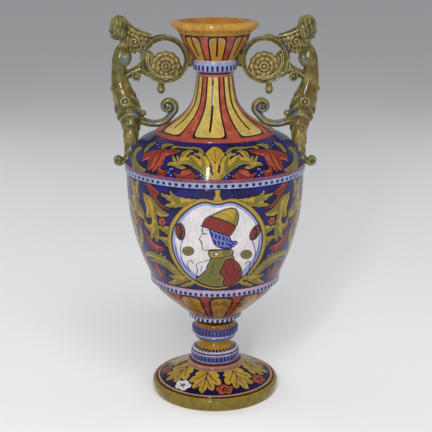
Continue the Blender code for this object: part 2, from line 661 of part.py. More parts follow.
def main():
    clear_scene()
    glaze = glaze_material("painted_glaze", (0.16, 0.13, 0.09), 0.22)
    top = turned("amphora_top", top_section(), ring=True)
    belly = turned("amphora_belly", belly_section(), ring=True)
    foot = turned("amphora_foot", foot_section())
    unite(top, handle(-1) + handle(1))
    for item in (top, belly, foot):
        item.data.materials.append(glaze)


main()
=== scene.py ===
# %% [markdown]
# # A painted ceramic amphora
#
# The vessel is a turned, hollow form with a slender neck and a spreading foot, and two moulded
# handles, each an armless figure with scrolls. All of it is one fired piece under one glaze.
# This script dresses the plain solid: the wall gets its fine mouldings and its painting, and the
# handles get their carving. The vessel is made in four rings (mouth and neck, shoulder, belly,
# foot) that meet in grooves between the painted bands. One mesh for all of it would be too heavy,
# and the rings let each band have points as close as its painting needs.

# %% Load the frame
import math

import bmesh
import bpy
import numpy as np
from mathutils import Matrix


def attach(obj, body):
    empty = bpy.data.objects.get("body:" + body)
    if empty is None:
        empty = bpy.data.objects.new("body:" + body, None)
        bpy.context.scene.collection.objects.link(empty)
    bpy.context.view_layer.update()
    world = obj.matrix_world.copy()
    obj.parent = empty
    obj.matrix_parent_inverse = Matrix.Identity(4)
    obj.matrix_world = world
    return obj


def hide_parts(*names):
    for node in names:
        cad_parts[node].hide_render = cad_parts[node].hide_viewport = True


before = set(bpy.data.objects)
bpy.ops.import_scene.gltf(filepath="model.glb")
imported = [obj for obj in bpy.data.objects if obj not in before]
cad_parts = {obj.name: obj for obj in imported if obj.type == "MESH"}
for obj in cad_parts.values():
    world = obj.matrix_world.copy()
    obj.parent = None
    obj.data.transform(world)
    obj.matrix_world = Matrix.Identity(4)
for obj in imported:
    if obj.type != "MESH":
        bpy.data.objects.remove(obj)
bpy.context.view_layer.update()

# %% [markdown]
# ## View, floor and light
#
# The photograph was taken with a long lens from a little above the mouth, so the camera stands
# 1.7 m away and looks down by 15 degrees. A tall narrow light a little left of the camera gives
# the bright streak that a glossy glaze shows on neck and shoulder. Large soft lights fill the rest.
# They are kept out of reflections, because their edges would lie on the glaze as hard shapes.

# %% Camera
PHOTO_SIDE = 432
FOCAL_LENGTH_PIXELS = 1077.0
SENSOR_WIDTH = 36.0
CAMERA_PLACE = (0.0016, -1.7324, 0.7729)
CAMERA_DIP = 15.1


def put(name, data):
    """A new object for some data, in the scene."""
    thing = bpy.data.objects.new(name, data)
    bpy.context.scene.collection.objects.link(thing)
    return thing


camera_data = bpy.data.cameras.new("view")
camera_data.sensor_width = SENSOR_WIDTH
camera_data.lens = FOCAL_LENGTH_PIXELS / PHOTO_SIDE * SENSOR_WIDTH
camera = put("view", camera_data)
camera.location = CAMERA_PLACE
camera.rotation_euler = (math.radians(90 - CAMERA_DIP), 0, 0)
bpy.context.scene.camera = camera
print("lens in mm:", round(camera_data.lens, 2))


# %% Lights
VESSEL_MIDDLE = (0.0, 0.0, 0.36)
LIGHTS = [
    ("streak_light", (-0.36, -2.0, 1.35), 0.14, 1.30, 25, True),
    ("side_light_left", (-2.1, 1.0, 1.1), 2.4, 2.0, 19, False),
    ("side_light_right", (2.1, 1.0, 1.1), 2.4, 2.0, 16, False),
    ("high_light", (0.3, -1.5, 2.6), 1.4, 1.0, 30, False),
]
SKY_TINT = (0.95, 0.97, 1.0, 1.0)
SKY_STRENGTH = 0.33


def soft_light(name, place, width, height, watts, reflected):
    """A rectangular light at a place, turned to the vessel's middle: it leans from the upright by
    the angle whose tangent is flat distance over height, and turns round by its bearing."""
    data = bpy.data.lights.new(name, "AREA")
    data.shape = "RECTANGLE"
    data.size = width
    data.size_y = height
    data.energy = watts
    light = put(name, data)
    away = np.array(place) - np.array(VESSEL_MIDDLE)
    light.location = place
    flat = math.hypot(away[0], away[1])
    light.rotation_euler = (math.atan2(flat, away[2]), 0, math.atan2(away[0], -away[1]))
    light.visible_camera = False
    light.visible_glossy = reflected


for row in LIGHTS:
    soft_light(*row)
world = bpy.data.worlds.new("studio")
world.use_nodes = True
sky = world.node_tree.nodes["Background"].inputs
sky["Color"].default_value = SKY_TINT
sky["Strength"].default_value = SKY_STRENGTH
bpy.context.scene.world = world
bpy.context.scene.view_settings.view_transform = "Standard"
print("lights:", [row[0] for row in LIGHTS])


# %% Mesh helpers
def new_piece(name, vertices, faces):
    """A smooth-shaded mesh object at the origin, from an array of points and a list of face arrays,
    each with the point numbers of its faces of four or of three corners."""
    vertices = np.ascontiguousarray(vertices, dtype=np.float32)
    faces = [np.asarray(part, dtype=np.int32) for part in faces if len(part)]
    mesh = bpy.data.meshes.new(name)
    mesh.vertices.add(len(vertices))
    mesh.vertices.foreach_set("co", vertices.ravel())
    corners = np.concatenate([part.ravel() for part in faces])
    sizes = np.concatenate([np.full(len(part), part.shape[1]) for part in faces])
    mesh.loops.add(len(corners))
    mesh.loops.foreach_set("vertex_index", corners)
    mesh.polygons.add(len(sizes))
    starts = np.concatenate([[0], np.cumsum(sizes)[:-1]])
    mesh.polygons.foreach_set("loop_start", starts.astype(np.int32))
    mesh.update(calc_edges=True)
    mesh.validate()
    shape = bmesh.new()
    shape.from_mesh(mesh)
    bmesh.ops.recalc_face_normals(shape, faces=shape.faces)
    shape.to_mesh(mesh)
    shape.free()
    mesh.polygons.foreach_set("use_smooth", np.ones(len(mesh.polygons), bool))
    return put(name, mesh)


def say_size(piece):
    """Print the count of points and of triangles; a face of n corners is n less 2 triangles."""
    mesh = piece.data
    print(piece.name, len(mesh.vertices), "points,", len(mesh.loops) - 2 * len(mesh.polygons), "triangles")


def grid_faces(rows, columns, rows_close=False):
    """Faces of four over a grid of points that closes round its columns, and also from its last
    row to its first where rows_close says so."""
    corner = np.arange(rows * columns).reshape(rows, columns)
    beside = np.roll(corner, -1, axis=1)
    if rows_close:
        quads = [corner, beside, np.roll(beside, -1, axis=0), np.roll(corner, -1, axis=0)]
    else:
        quads = [corner[:-1], beside[:-1], beside[1:], corner[1:]]
    return np.stack(quads, -1).reshape(-1, 4)


def fan_closed(rings, ends=None):
    """Points and faces of a tube through the rings, closed by a fan of triangles round each end
    point, which is the mean of its ring where no ends are given."""
    count, sides, _ = rings.shape
    if ends is None:
        ends = np.array([rings[0].mean(axis=0), rings[-1].mean(axis=0)])
    first, last = count * sides, count * sides + 1
    top, bottom = np.arange(sides), np.arange(sides) + first - sides
    fans = np.vstack([
        np.stack([np.full(sides, first), np.roll(top, -1), top], -1),
        np.stack([np.full(sides, last), bottom, np.roll(bottom, -1)], -1),
    ])
    return np.vstack([rings.reshape(-1, 3), ends]), grid_faces(count, sides), fans


def keep_numbers(piece, name, values):
    """Store one number for each point of the mesh, for the material to read."""
    data = piece.data.attributes.new(name, "FLOAT", "POINT").data
    data.foreach_set("value", np.ascontiguousarray(values, dtype=np.float32).ravel())


def smooth_curve(rows, steps):
    """A smooth curve through the rows: each stretch is a cubic that leaves its first row along the
    line between that row's neighbours and reaches the next row the same way."""
    knots = np.array(rows, float)
    knots = np.vstack([2 * knots[0] - knots[1], knots, 2 * knots[-1] - knots[-2]])
    share = np.arange(steps)[:, None] / steps
    parts = []
    for a, b, c, d in zip(knots, knots[1:], knots[2:], knots[3:]):
        cubic = 2 * b + (c - a) * share + (2 * a - 5 * b + 4 * c - d) * share**2
        parts.append((cubic + (3 * b - a - 3 * c + d) * share**3) / 2)
    parts.append(knots[-2][None])
    return np.vstack(parts)


def evenly(curve, step):
    """The same curve with its points about one step apart, by its length."""
    length = np.concatenate([[0], np.cumsum(np.hypot(*np.diff(curve[:, :2], axis=0).T))])
    places = np.linspace(0, length[-1], max(2, int(round(length[-1] / step)) + 1))
    return np.stack([np.interp(places, length, column) for column in curve.T], 1)


# %% [markdown]
# ## The turned wall
#
# A potter throws the wall on a wheel, so one profile carried round the axis makes it all. The
# profile is a list of stretches: smooth curves through a few radii and heights for the long
# walls, and small arcs for the rolled rings. The inside follows the outside at the wall's
# thickness. A spin modifier could turn the profile too, but an array of angles lets the painted
# front have closer columns than the back. Three rings are closed by joining the outer line to the
# inner line, and the foot is closed on the axis.

# %% Profile of the vessel, as radius and height
LIP_CENTRE = (0.0642, 0.6210)
LIP_ROLL = 0.0065
CUP_STATIONS = [(0.0583, 0.6085), (0.0536, 0.5975), (0.0473, 0.5865), (0.0399, 0.5755), (0.0335, 0.5665)]
COLLAR_RADIUS = 0.0357
COLLAR_TOP = 0.5655
COLLAR_FOOT = 0.5490
NECK_STATIONS = [(0.0298, 0.5420), (0.0330, 0.5180), (0.0380, 0.4984), (0.0465, 0.4855), (0.0585, 0.4738),
                 (0.0760, 0.4618), (0.0895, 0.4525)]
NECK_RING = (0.0937, 0.4480)
NECK_RING_ROLL = 0.0045
SHOULDER_STATIONS = [(0.0992, 0.4480), (0.1110, 0.4428), (0.1222, 0.4365), (0.1340, 0.4240),
                     (0.1415, 0.4100), (0.1455, 0.4015)]
BEAD_BAND = (0.1478, 0.3956, 0.3870)
BELLY_STATIONS = [(0.1452, 0.3855), (0.1447, 0.3530), (0.1405, 0.3120), (0.1318, 0.2730), (0.1210, 0.2410),
                  (0.1085, 0.2120)]
LOWER_BAND = (0.1088, 0.2110, 0.2005)
BOWL_STATIONS = [(0.1035, 0.1990), (0.0950, 0.1850), (0.0838, 0.1740), (0.0690, 0.1605), (0.0535, 0.1478),
                 (0.0405, 0.1390)]
SLOPE_STATIONS = [(0.0475, 0.0460), (0.0712, 0.0344), (0.0965, 0.0240)]
BODY_WALL = 0.0085
NECK_WALL = 0.0070


def arc(centre, radius, start, end, steps):
    """Points on a circle in the profile's plane, between two angles in degrees."""
    angles = np.radians(np.linspace(start, end, steps + 1))
    return np.stack([centre[0] + radius * np.cos(angles), centre[1] + radius * np.sin(angles)], 1)


def rounded_band(radius, top, foot, edge):
    """A raised band whose two edges are quarter arcs."""
    upper = arc((radius - edge, top - edge), edge, 90, 0, 3)
    lower = arc((radius - edge, foot + edge), edge, 0, -90, 3)
    return np.vstack([upper, lower])


def inner_line(outline, wall):
    """The outline moved inwards by the wall, square to its own direction."""
    along = np.gradient(outline, axis=0)
    along /= np.linalg.norm(along, axis=1)[:, None]
    return outline + np.stack([along[:, 1], -along[:, 0]], 1) * wall


# %% Turning
def column_angles(front_count, back_count, front_half=62.0):
    """Angles round the axis in radians, from the front's left edge to its right edge and on round
    the back. The front, within so many degrees of the middle, gets its own count, so that the
    painting that is looked at most has the closest points."""
    front = np.linspace(-front_half, front_half, front_count, endpoint=False)
    back = np.linspace(front_half, 360 - front_half, back_count, endpoint=False)
    return np.radians(np.concatenate([front, back]))


def carried_round(line, angles):
    """A line of radii and heights carried round the axis: radius r and height z at angle a lie at
    (r sin a, -r cos a, z), so that a = 0 is the front."""
    grid = np.empty((len(line), len(angles), 3))
    grid[..., 0] = line[:, :1] * np.sin(angles)
    grid[..., 1] = -line[:, :1] * np.cos(angles)
    grid[..., 2] = line[:, 1:]
    return grid


def turned_ring(name, outer, inner, angles):
    """A closed ring of wall: the outer line down and the inner line up, carried round."""
    grid = carried_round(np.vstack([outer, inner[::-1]]), angles)
    piece = new_piece(name, grid.reshape(-1, 3), [grid_faces(*grid.shape[:2], rows_close=True)])
    say_size(piece)
    return piece


def turned_solid(name, loop, angles):
    """A closed solid whose line starts and ends on the axis, where two fans close it."""
    ends = np.array([(0, 0, loop[0, 1]), (0, 0, loop[-1, 1])])
    vertices, quads, fans = fan_closed(carried_round(loop[1:-1], angles), ends)
    piece = new_piece(name, vertices, [quads, fans])
    say_size(piece)
    return piece


# %% Mouth and neck
WALL_STEP = 0.0016
lip = arc(LIP_CENTRE, LIP_ROLL, 90, -70, 12)
cup = evenly(smooth_curve(CUP_STATIONS, 8), WALL_STEP)
collar = rounded_band(COLLAR_RADIUS, COLLAR_TOP, COLLAR_FOOT, 0.0028)
neck = evenly(smooth_curve(NECK_STATIONS, 8), WALL_STEP)
neck_ring = arc(NECK_RING, NECK_RING_ROLL, 100, -80, 10)
mouth_outer = np.vstack([lip, cup, collar, neck, neck_ring])
mouth_inner = np.vstack([
    [(0.0577, 0.6262)],
    inner_line(cup, 0.0065)[:-2:3],
    [(0.0234, 0.5565)],
    inner_line(neck, NECK_WALL)[1::4],
    [(0.0890, 0.4400)],
])
mouth_angles = column_angles(120, 168)
mouth_and_neck = turned_ring("mouth_and_neck", mouth_outer, mouth_inner, mouth_angles)
is_inner = np.arange(len(mouth_outer) + len(mouth_inner)) >= len(mouth_outer)
keep_numbers(mouth_and_neck, "inner_wall", np.repeat(is_inner, len(mouth_angles)))

# %% Shoulder
SHOULDER_STEP = 0.00125
shoulder_wall = evenly(smooth_curve(SHOULDER_STATIONS, 12), SHOULDER_STEP)
shoulder_lead = np.array([(0.0945, 0.4432), (0.0975, 0.4462)])
fillet = rounded_band(0.1468, 0.4011, 0.3966, 0.0012)
bead_band = rounded_band(*BEAD_BAND, 0.0013)
shoulder_outer = np.vstack([shoulder_lead, shoulder_wall, fillet, bead_band])
shoulder_inner = np.vstack([
    [(0.0895, 0.4392)],
    inner_line(shoulder_wall, BODY_WALL)[8::6],
    [(0.1370, 0.3868)],
])
shoulder_angles = column_angles(270, 330)
shoulder = turned_ring("shoulder", shoulder_outer, shoulder_inner, shoulder_angles)

# %% Belly
BELLY_STEP = 0.00125
belly_wall = evenly(smooth_curve(BELLY_STATIONS, 16), BELLY_STEP)
lower_band = rounded_band(*LOWER_BAND, 0.0012)
belly_outer = np.vstack([[(0.1440, 0.3868)], belly_wall, lower_band])
belly_inner = np.vstack([
    [(0.1370, 0.3864)],
    inner_line(belly_wall, BODY_WALL)[3::12],
    [(0.0960, 0.2003)],
])
belly_angles = column_angles(270, 270)
belly = turned_ring("belly", belly_outer, belly_inner, belly_angles)

# %% Bowl, stem and foot
FOOT_STEP = 0.0015
bowl_wall = evenly(smooth_curve(BOWL_STATIONS, 10), FOOT_STEP)
stem_ring = arc((0.0410, 0.1352), 0.0038, 80, -80, 8)
stem = smooth_curve([(0.0385, 0.1310), (0.0290, 0.1272), (0.0262, 0.1245), (0.0285, 0.1222)], 3)
knop_roll = arc((0.0300, 0.1190), 0.0042, 60, -50, 6)
knop_neck = np.array([(0.0322, 0.1158), (0.0352, 0.1150)])
knop_band = rounded_band(0.0396, 0.1140, 0.1040, 0.0020)
knop_fillet = arc((0.0352, 0.1020), 0.0018, 60, -60, 4)
knop_base = arc((0.0310, 0.0975), 0.0036, 50, -60, 5)
cove = smooth_curve([(0.0290, 0.0935), (0.0256, 0.0905), (0.0262, 0.0860), (0.0310, 0.0795),
                     (0.0372, 0.0755)], 5)
cove_rings = np.vstack([arc((0.0372, 0.0738), 0.0018, 70, -60, 4), arc((0.0388, 0.0702), 0.0020, 70, -30, 4)])
foot_collar = rounded_band(0.0413, 0.0688, 0.0585, 0.0014)
collar_base = np.array([(0.0408, 0.0572), (0.0418, 0.0556)])
foot_torus = arc((0.0430, 0.0505), 0.0040, 75, -55, 8)
slope = evenly(smooth_curve(SLOPE_STATIONS, 20), 0.0013)
rim_ring = arc((0.0972, 0.0226), 0.0018, 90, -10, 4)
rim_groove = smooth_curve([(0.0995, 0.0212), (0.1012, 0.0204), (0.1026, 0.0212)], 3)
rim_edge = smooth_curve([(0.1032, 0.0216), (0.1058, 0.0200), (0.1073, 0.0165), (0.1066, 0.0085),
                         (0.1045, 0.0022), (0.1032, 0.0)], 4)
under = smooth_curve([(0.0890, 0.0), (0.0868, 0.0030), (0.0827, 0.0160), (0.0403, 0.0380), (0.0318, 0.0555),
                      (0.0150, 0.0885), (0.0150, 0.1235)], 3)
floor_line = inner_line(bowl_wall, BODY_WALL)[2:-4:5]
foot_loop = np.vstack([
    [(0.0, 0.1430), (0.0220, 0.1432)], floor_line[::-1], [(0.0958, 0.2000), (0.1020, 0.2000)], bowl_wall,
    stem_ring, stem, knop_roll, knop_neck, knop_band, knop_fillet, knop_base, cove, cove_rings,
    foot_collar, collar_base, foot_torus, slope, rim_ring, rim_groove, rim_edge, under, [(0.0, 0.1310)],
])
SLOPE_FIRST = len(foot_loop) - 1 - len(under) - len(rim_edge) - len(rim_groove) - len(rim_ring) - len(slope)
foot_angles = column_angles(176, 184, 90.0)
foot = turned_solid("foot", foot_loop, foot_angles)


# %% [markdown]
# ## Painting on the wall
#
# The painter draws each leaf and scroll freely on the unfired glaze, fills it with colour and
# outlines it in a dark line. Here every band of wall is a canvas in millimetres: across is the
# distance round the wall from a chosen middle, and up is the length of the wall from the band's
# foot. A shape is a signed distance, positive inside, so its edge stays sharp between points and
# the material can draw the outline where the distance is near nothing. Laying a shape cuts the
# colours under it back, as opaque paint does.

# %% Brush shapes
FAR = -30.0
LOBE_ROUNDING = 0.6
LOBE_DEPTH = 0.55
LOBE_MEAN = 0.72


def brush(points, lobe=0.0):
    """A tapered stroke: the local half width less the distance to a smooth line through the points.

    A lobe length makes it a leaf: the half width swells and shrinks with the cosine of the way
    along the line, out of step on its two sides, so that its edge is scalloped. The second result
    is the side distance, which is positive to the left of the line.
    """
    line = smooth_curve(points, 5)

    def shape(x, y):
        best = np.full(x.shape, FAR)
        side = np.zeros(x.shape)
        gone = 0.0
        for (ax, ay, aw), (bx, by, bw) in zip(line, line[1:]):
            dx, dy = bx - ax, by - ay
            size = dx * dx + dy * dy + 1e-9
            share = np.clip(((x - ax) * dx + (y - ay) * dy) / size, 0, 1)
            half = aw + (bw - aw) * share
            beside = (dx * (y - ay) - dy * (x - ax)) / math.sqrt(size)
            if lobe:
                phase = math.pi * (gone + math.sqrt(size) * share) / lobe + (beside > 0)
                swing = np.abs(np.cos(phase)) ** LOBE_ROUNDING
                half = half * (1 + LOBE_DEPTH * (swing - LOBE_MEAN))
            reach = half - np.hypot(x - ax - dx * share, y - ay - dy * share)
            nearer = reach > best
            best = np.where(nearer, reach, best)
            side = np.where(nearer, beside, side)
            gone += math.sqrt(size)
        return best, side
    low = line[:, :2].min(axis=0) - line[:, 2].max()
    high = line[:, :2].max(axis=0) + line[:, 2].max()
    return shape, low, high


def spot(x0, y0, radius, tall=1.0, tilt=0.0):
    """An oval: one less the stretched distance from its middle, times its radius."""
    cos, sin = math.cos(math.radians(tilt)), math.sin(math.radians(tilt))

    def shape(x, y):
        across = (x - x0) * cos + (y - y0) * sin
        along = (y - y0) * cos - (x - x0) * sin
        return radius * (1 - np.hypot(across / radius, along / (radius * tall))), across
    reach = radius * max(tall, 1.0)
    return shape, np.array([x0 - reach, y0 - reach]), np.array([x0 + reach, y0 + reach])


def patch(points, rounded=3):
    """A closed area: the distance to its smooth edge, counted as negative outside."""
    ring = np.array(points, float)
    edge = smooth_curve(np.vstack([ring[-1:], ring, ring[:2]]), rounded)[rounded:-rounded]

    def shape(x, y):
        nearest = np.full(x.shape, -FAR)
        inside = np.zeros(x.shape, bool)
        for (ax, ay), (bx, by) in zip(edge, edge[1:]):
            dx, dy = bx - ax, by - ay
            share = np.clip(((x - ax) * dx + (y - ay) * dy) / (dx * dx + dy * dy + 1e-9), 0, 1)
            nearest = np.minimum(nearest, np.hypot(x - ax - dx * share, y - ay - dy * share))
            crosses = (ay > y) != (by > y)
            inside ^= crosses & (x < ax + (y - ay) * dx / (dy + 1e-12))
        return np.where(inside, nearest, -nearest), x - edge[:, 0].mean()
    return shape, edge.min(axis=0), edge.max(axis=0)


def ink_line(points, half):
    """A thin stroke of even half width."""
    return brush([(x, y, half) for x, y in points])


# %% The canvas
COLOURS = ["leaf", "red", "pale", "sky", "blue"]
LOBE = 9.5
WIDE_STROKE = 4.0
EDGE_ROOM = 4.0
EDGE_OVERLAP = 0.6
OCHRE_TONE = -3.0
GREEN_TONE = 3.6
MM_PER_METRE = 1000.0


class Canvas:
    """One band of wall in millimetres, with one signed field for each colour.

    Beside the colours it has ink, for fine lines, and rib, the side distance from the middle of
    each leaf, by which the material turns from ochre to green, or from brick to its lighter side.
    """

    def __init__(self, line, angles):
        steps = np.hypot(*np.diff(line, axis=0).T)
        length = np.concatenate([[0], np.cumsum(steps)])
        self.radius = np.broadcast_to(line[:, :1] * MM_PER_METRE, (len(line), len(angles)))
        self.up = np.broadcast_to((length[-1] - length)[:, None] * MM_PER_METRE, self.radius.shape)
        self.angles = np.broadcast_to(angles, self.radius.shape)
        self.fields = {name: np.full(self.radius.shape, FAR) for name in COLOURS + ["ink"]}
        self.rib = np.zeros(self.radius.shape)
        self.middle = 0.0
        self.flip = 1

    def across(self):
        """Distance round the wall from the middle, to the right, or to the left if flipped."""
        turn = np.remainder(self.angles - math.radians(self.middle) + math.pi, 2 * math.pi) - math.pi
        return self.flip * turn * self.radius

    def lay(self, colour, form, green=None):
        """Lay one shape; green sets its side distance to one value, so all of it takes that tone."""
        shape, low, high = form
        x = self.across()
        near = (x > low[0] - EDGE_ROOM) & (x < high[0] + EDGE_ROOM)
        near &= (self.up > low[1] - EDGE_ROOM) & (self.up < high[1] + EDGE_ROOM)
        distance, side = shape(x[near], self.up[near])
        if colour == "ink":
            self.fields["ink"][near] = np.maximum(self.fields["ink"][near], distance)
            return
        for name in COLOURS:
            field = self.fields[name][near]
            laid = np.maximum(field, distance) if name == colour else np.minimum(field, -distance)
            self.fields[name][near] = laid
        self.fields["ink"][near] = np.minimum(self.fields["ink"][near], -distance)
        tone = side if green is None else np.full(side.shape, green)
        self.rib[near] = np.where(distance > -EDGE_OVERLAP, tone, self.rib[near])

    def lay_all(self, shapes):
        """Lay strokes, each a colour and its points: wide ones are lobed, and green is a green leaf."""
        for colour, points in shapes:
            wide = max(row[2] for row in points) > WIDE_STROKE
            form = brush(points, LOBE if wide else 0.0)
            if colour == "green":
                self.lay("leaf", form, GREEN_TONE)
            else:
                self.lay(colour, form)

    def store(self, piece, first_row, columns):
        """Put the fields on the piece's points; all points outside the band stay far away."""
        count = len(piece.data.vertices)
        start = first_row * columns
        for name, field in [*self.fields.items(), ("rib", self.rib)]:
            values = np.full(count, FAR if name != "rib" else 0.0)
            values[start:start + field.size] = field.ravel()
            keep_numbers(piece, name, values)


# %% [markdown]
# ### The shoulder
#
# A palmette of three big leaves stands in the middle, between small sprigs, curls and large
# brick-red acanthus leaves, on a deep blue ground. The same group is painted on the back. Each
# stroke below is a row of places along its middle with the half width of the brush there, all
# in millimetres from the foot of the palmette.

# %% Strokes of the shoulder
PALMETTE_SIDE = [
    ("leaf", [(-4.0, 1.0, 3.9), (-11.6, 8.9, 5.5), (-19.7, 17.7, 7.2), (-28.6, 25.4, 8.4),
              (-38.3, 29.0, 7.2), (-49.0, 26.9, 4.6), (-55.0, 23.0, 2.4)]),
    ("leaf", [(-14.1, 14.6, 6.3), (-15.2, 25.8, 7.0), (-17.6, 34.0, 5.0), (-22.4, 38.3, 2.4)]),
    ("leaf", [(-27.6, 25.4, 6.3), (-33.4, 32.9, 5.3), (-37.6, 38.4, 2.4)]),
]
PALMETTE_MIDDLE = [
    [(0.9, -1.0, 4.6), (0.9, 6.3, 4.6), (0.4, 20.5, 5.2), (0.0, 33.7, 9.2), (0.0, 43.8, 11.6),
     (-0.2, 51.5, 7.7), (0.0, 58.0, 2.6)],
    [(-2.4, 34.0, 6.7), (-8.0, 41.0, 5.8), (-13.4, 43.0, 2.6)],
    [(2.4, 34.0, 6.7), (8.0, 41.0, 5.8), (13.4, 43.0, 2.6)],
]
SHOULDER_SIDE = [
    ("green", [(-58.0, 54.5, 2.2), (-50.7, 53.8, 2.8), (-38.3, 54.6, 3.2), (-28.3, 54.4, 3.5),
               (-21.8, 50.0, 3.8), (-20.6, 44.3, 4.1), (-25.0, 40.6, 3.5), (-31.4, 41.6, 2.2)]),
    ("leaf", [(-50.6, 24.9, 3.5), (-50.6, 33.5, 4.8), (-46.2, 41.6, 4.8), (-39.3, 46.8, 3.5),
              (-34.4, 47.2, 2.2)]),
    ("leaf", [(-60.3, 18.0, 2.8), (-64.4, 27.2, 3.3), (-68.6, 34.8, 2.2)]),
    ("leaf", [(-58.8, 18.5, 2.8), (-57.6, 27.5, 3.3), (-60.0, 34.6, 2.2)]),
    ("leaf", [(-60.2, 18.0, 2.8), (-68.6, 21.3, 3.8), (-76.4, 19.0, 2.2)]),
    ("leaf", [(-58.6, 17.6, 2.8), (-50.4, 16.4, 3.7), (-42.6, 13.4, 2.2)]),
    ("red", [(-64.2, 7.0, 2.2), (-58.0, 3.0, 3.4), (-47.2, 1.2, 4.8), (-36.0, 2.4, 3.7), (-27.0, 5.4, 2.2)]),
    ("red", [(-52.5, 3.0, 3.7), (-47.2, 7.2, 6.1), (-41.4, 11.4, 4.3), (-37.0, 12.9, 2.2)]),
    ("red", [(-47.2, 2.5, 5.2), (-39.4, 6.4, 4.6), (-32.0, 8.4, 2.2)]),
    ("red", [(-55.2, 46.3, 2.2), (-66.3, 42.4, 4.3), (-79.6, 39.1, 6.1), (-95.7, 35.2, 6.8),
             (-114.2, 28.7, 6.6), (-129.1, 23.1, 5.2), (-134.6, 15.6, 2.2)]),
    ("red", [(-84.7, 36.7, 4.3), (-88.1, 24.8, 4.8), (-91.6, 16.8, 3.7), (-92.0, 9.3, 2.2)]),
    ("red", [(-90.8, 35.3, 4.8), (-97.2, 22.0, 6.3), (-103.4, 11.1, 5.2), (-106.1, 4.7, 2.2)]),
    ("red", [(-101.9, 32.1, 4.8), (-108.2, 21.8, 6.8), (-113.0, 12.8, 6.1), (-117.1, 5.4, 2.3)]),
    ("red", [(-93.6, 9.8, 2.2), (-92.0, 5.4, 4.8), (-87.6, 3.6, 6.1), (-82.1, 5.3, 4.3), (-80.0, 9.5, 2.2)]),
    ("leaf", [(-59.3, 54.8, 2.2), (-66.3, 52.7, 3.5), (-70.4, 48.6, 2.6)]),
    ("green", [(-70.9, 57.0, 2.6), (-82.0, 55.0, 4.0), (-89.1, 49.4, 4.8), (-90.0, 44.4, 2.2)]),
    ("green", [(-112.0, 56.0, 2.2), (-114.6, 50.8, 3.2), (-122.7, 45.7, 4.5), (-128.9, 38.1, 4.5),
               (-133.4, 31.0, 2.2)]),
    ("green", [(-124.1, 3.5, 2.6), (-138.5, 2.9, 5.4), (-154.1, 5.4, 7.3), (-164.3, 12.8, 8.0),
               (-166.5, 23.1, 7.0), (-158.2, 31.1, 4.8), (-148.8, 34.1, 2.2)]),
]
PALMETTE_VEINS = [
    [(0.4, 4.0), (0.2, 28.0), (0.0, 52.0)],
    [(-0.5, 26.0), (-5.0, 36.0), (-7.5, 43.0)],
    [(0.8, 26.0), (5.0, 36.0), (7.5, 43.0)],
]
SPECKS = [(-72.0, 12.0), (-75.0, 7.0), (-68.5, 13.5), (-70.0, 3.5), (-22.0, 7.0), (-17.0, 3.6),
          (-104.0, 50.0), (-98.0, 46.0), (-26.0, 12.5), (-12.0, 48.0)]
SPECK_RADIUS = 1.3

# %% Paint the shoulder
shoulder_canvas = Canvas(shoulder_wall, shoulder_angles)
for middle in (0.0, 180.0):
    shoulder_canvas.middle = middle
    for flip in (1, -1):
        shoulder_canvas.flip = flip
        shoulder_canvas.lay_all(SHOULDER_SIDE + PALMETTE_SIDE)
        for x, y in SPECKS:
            shoulder_canvas.lay("sky", spot(x, y, SPECK_RADIUS))
    shoulder_canvas.flip = 1
    for points in PALMETTE_MIDDLE:
        shoulder_canvas.lay("leaf", brush(points, LOBE), OCHRE_TONE)
    for points in PALMETTE_VEINS:
        shoulder_canvas.lay("ink", ink_line(points, 0.5))
shoulder_canvas.store(shoulder, len(shoulder_lead), len(shoulder_angles))
print("shoulder canvas", shoulder_canvas.up.shape, "to", round(shoulder_canvas.up.max(), 1), "mm up")

# %% [markdown]
# ### The belly
#
# The belly carries a white medallion in an ochre strap that springs into acanthus leaves, with
# red leaves and blooms between them. The medallion holds a bust in profile, in the blue line of
# the workshop, with a cap, a bobbed head of hair and a doublet, and long-stemmed buds at both
# sides. Its face is a plain one, set out on the usual thirds.

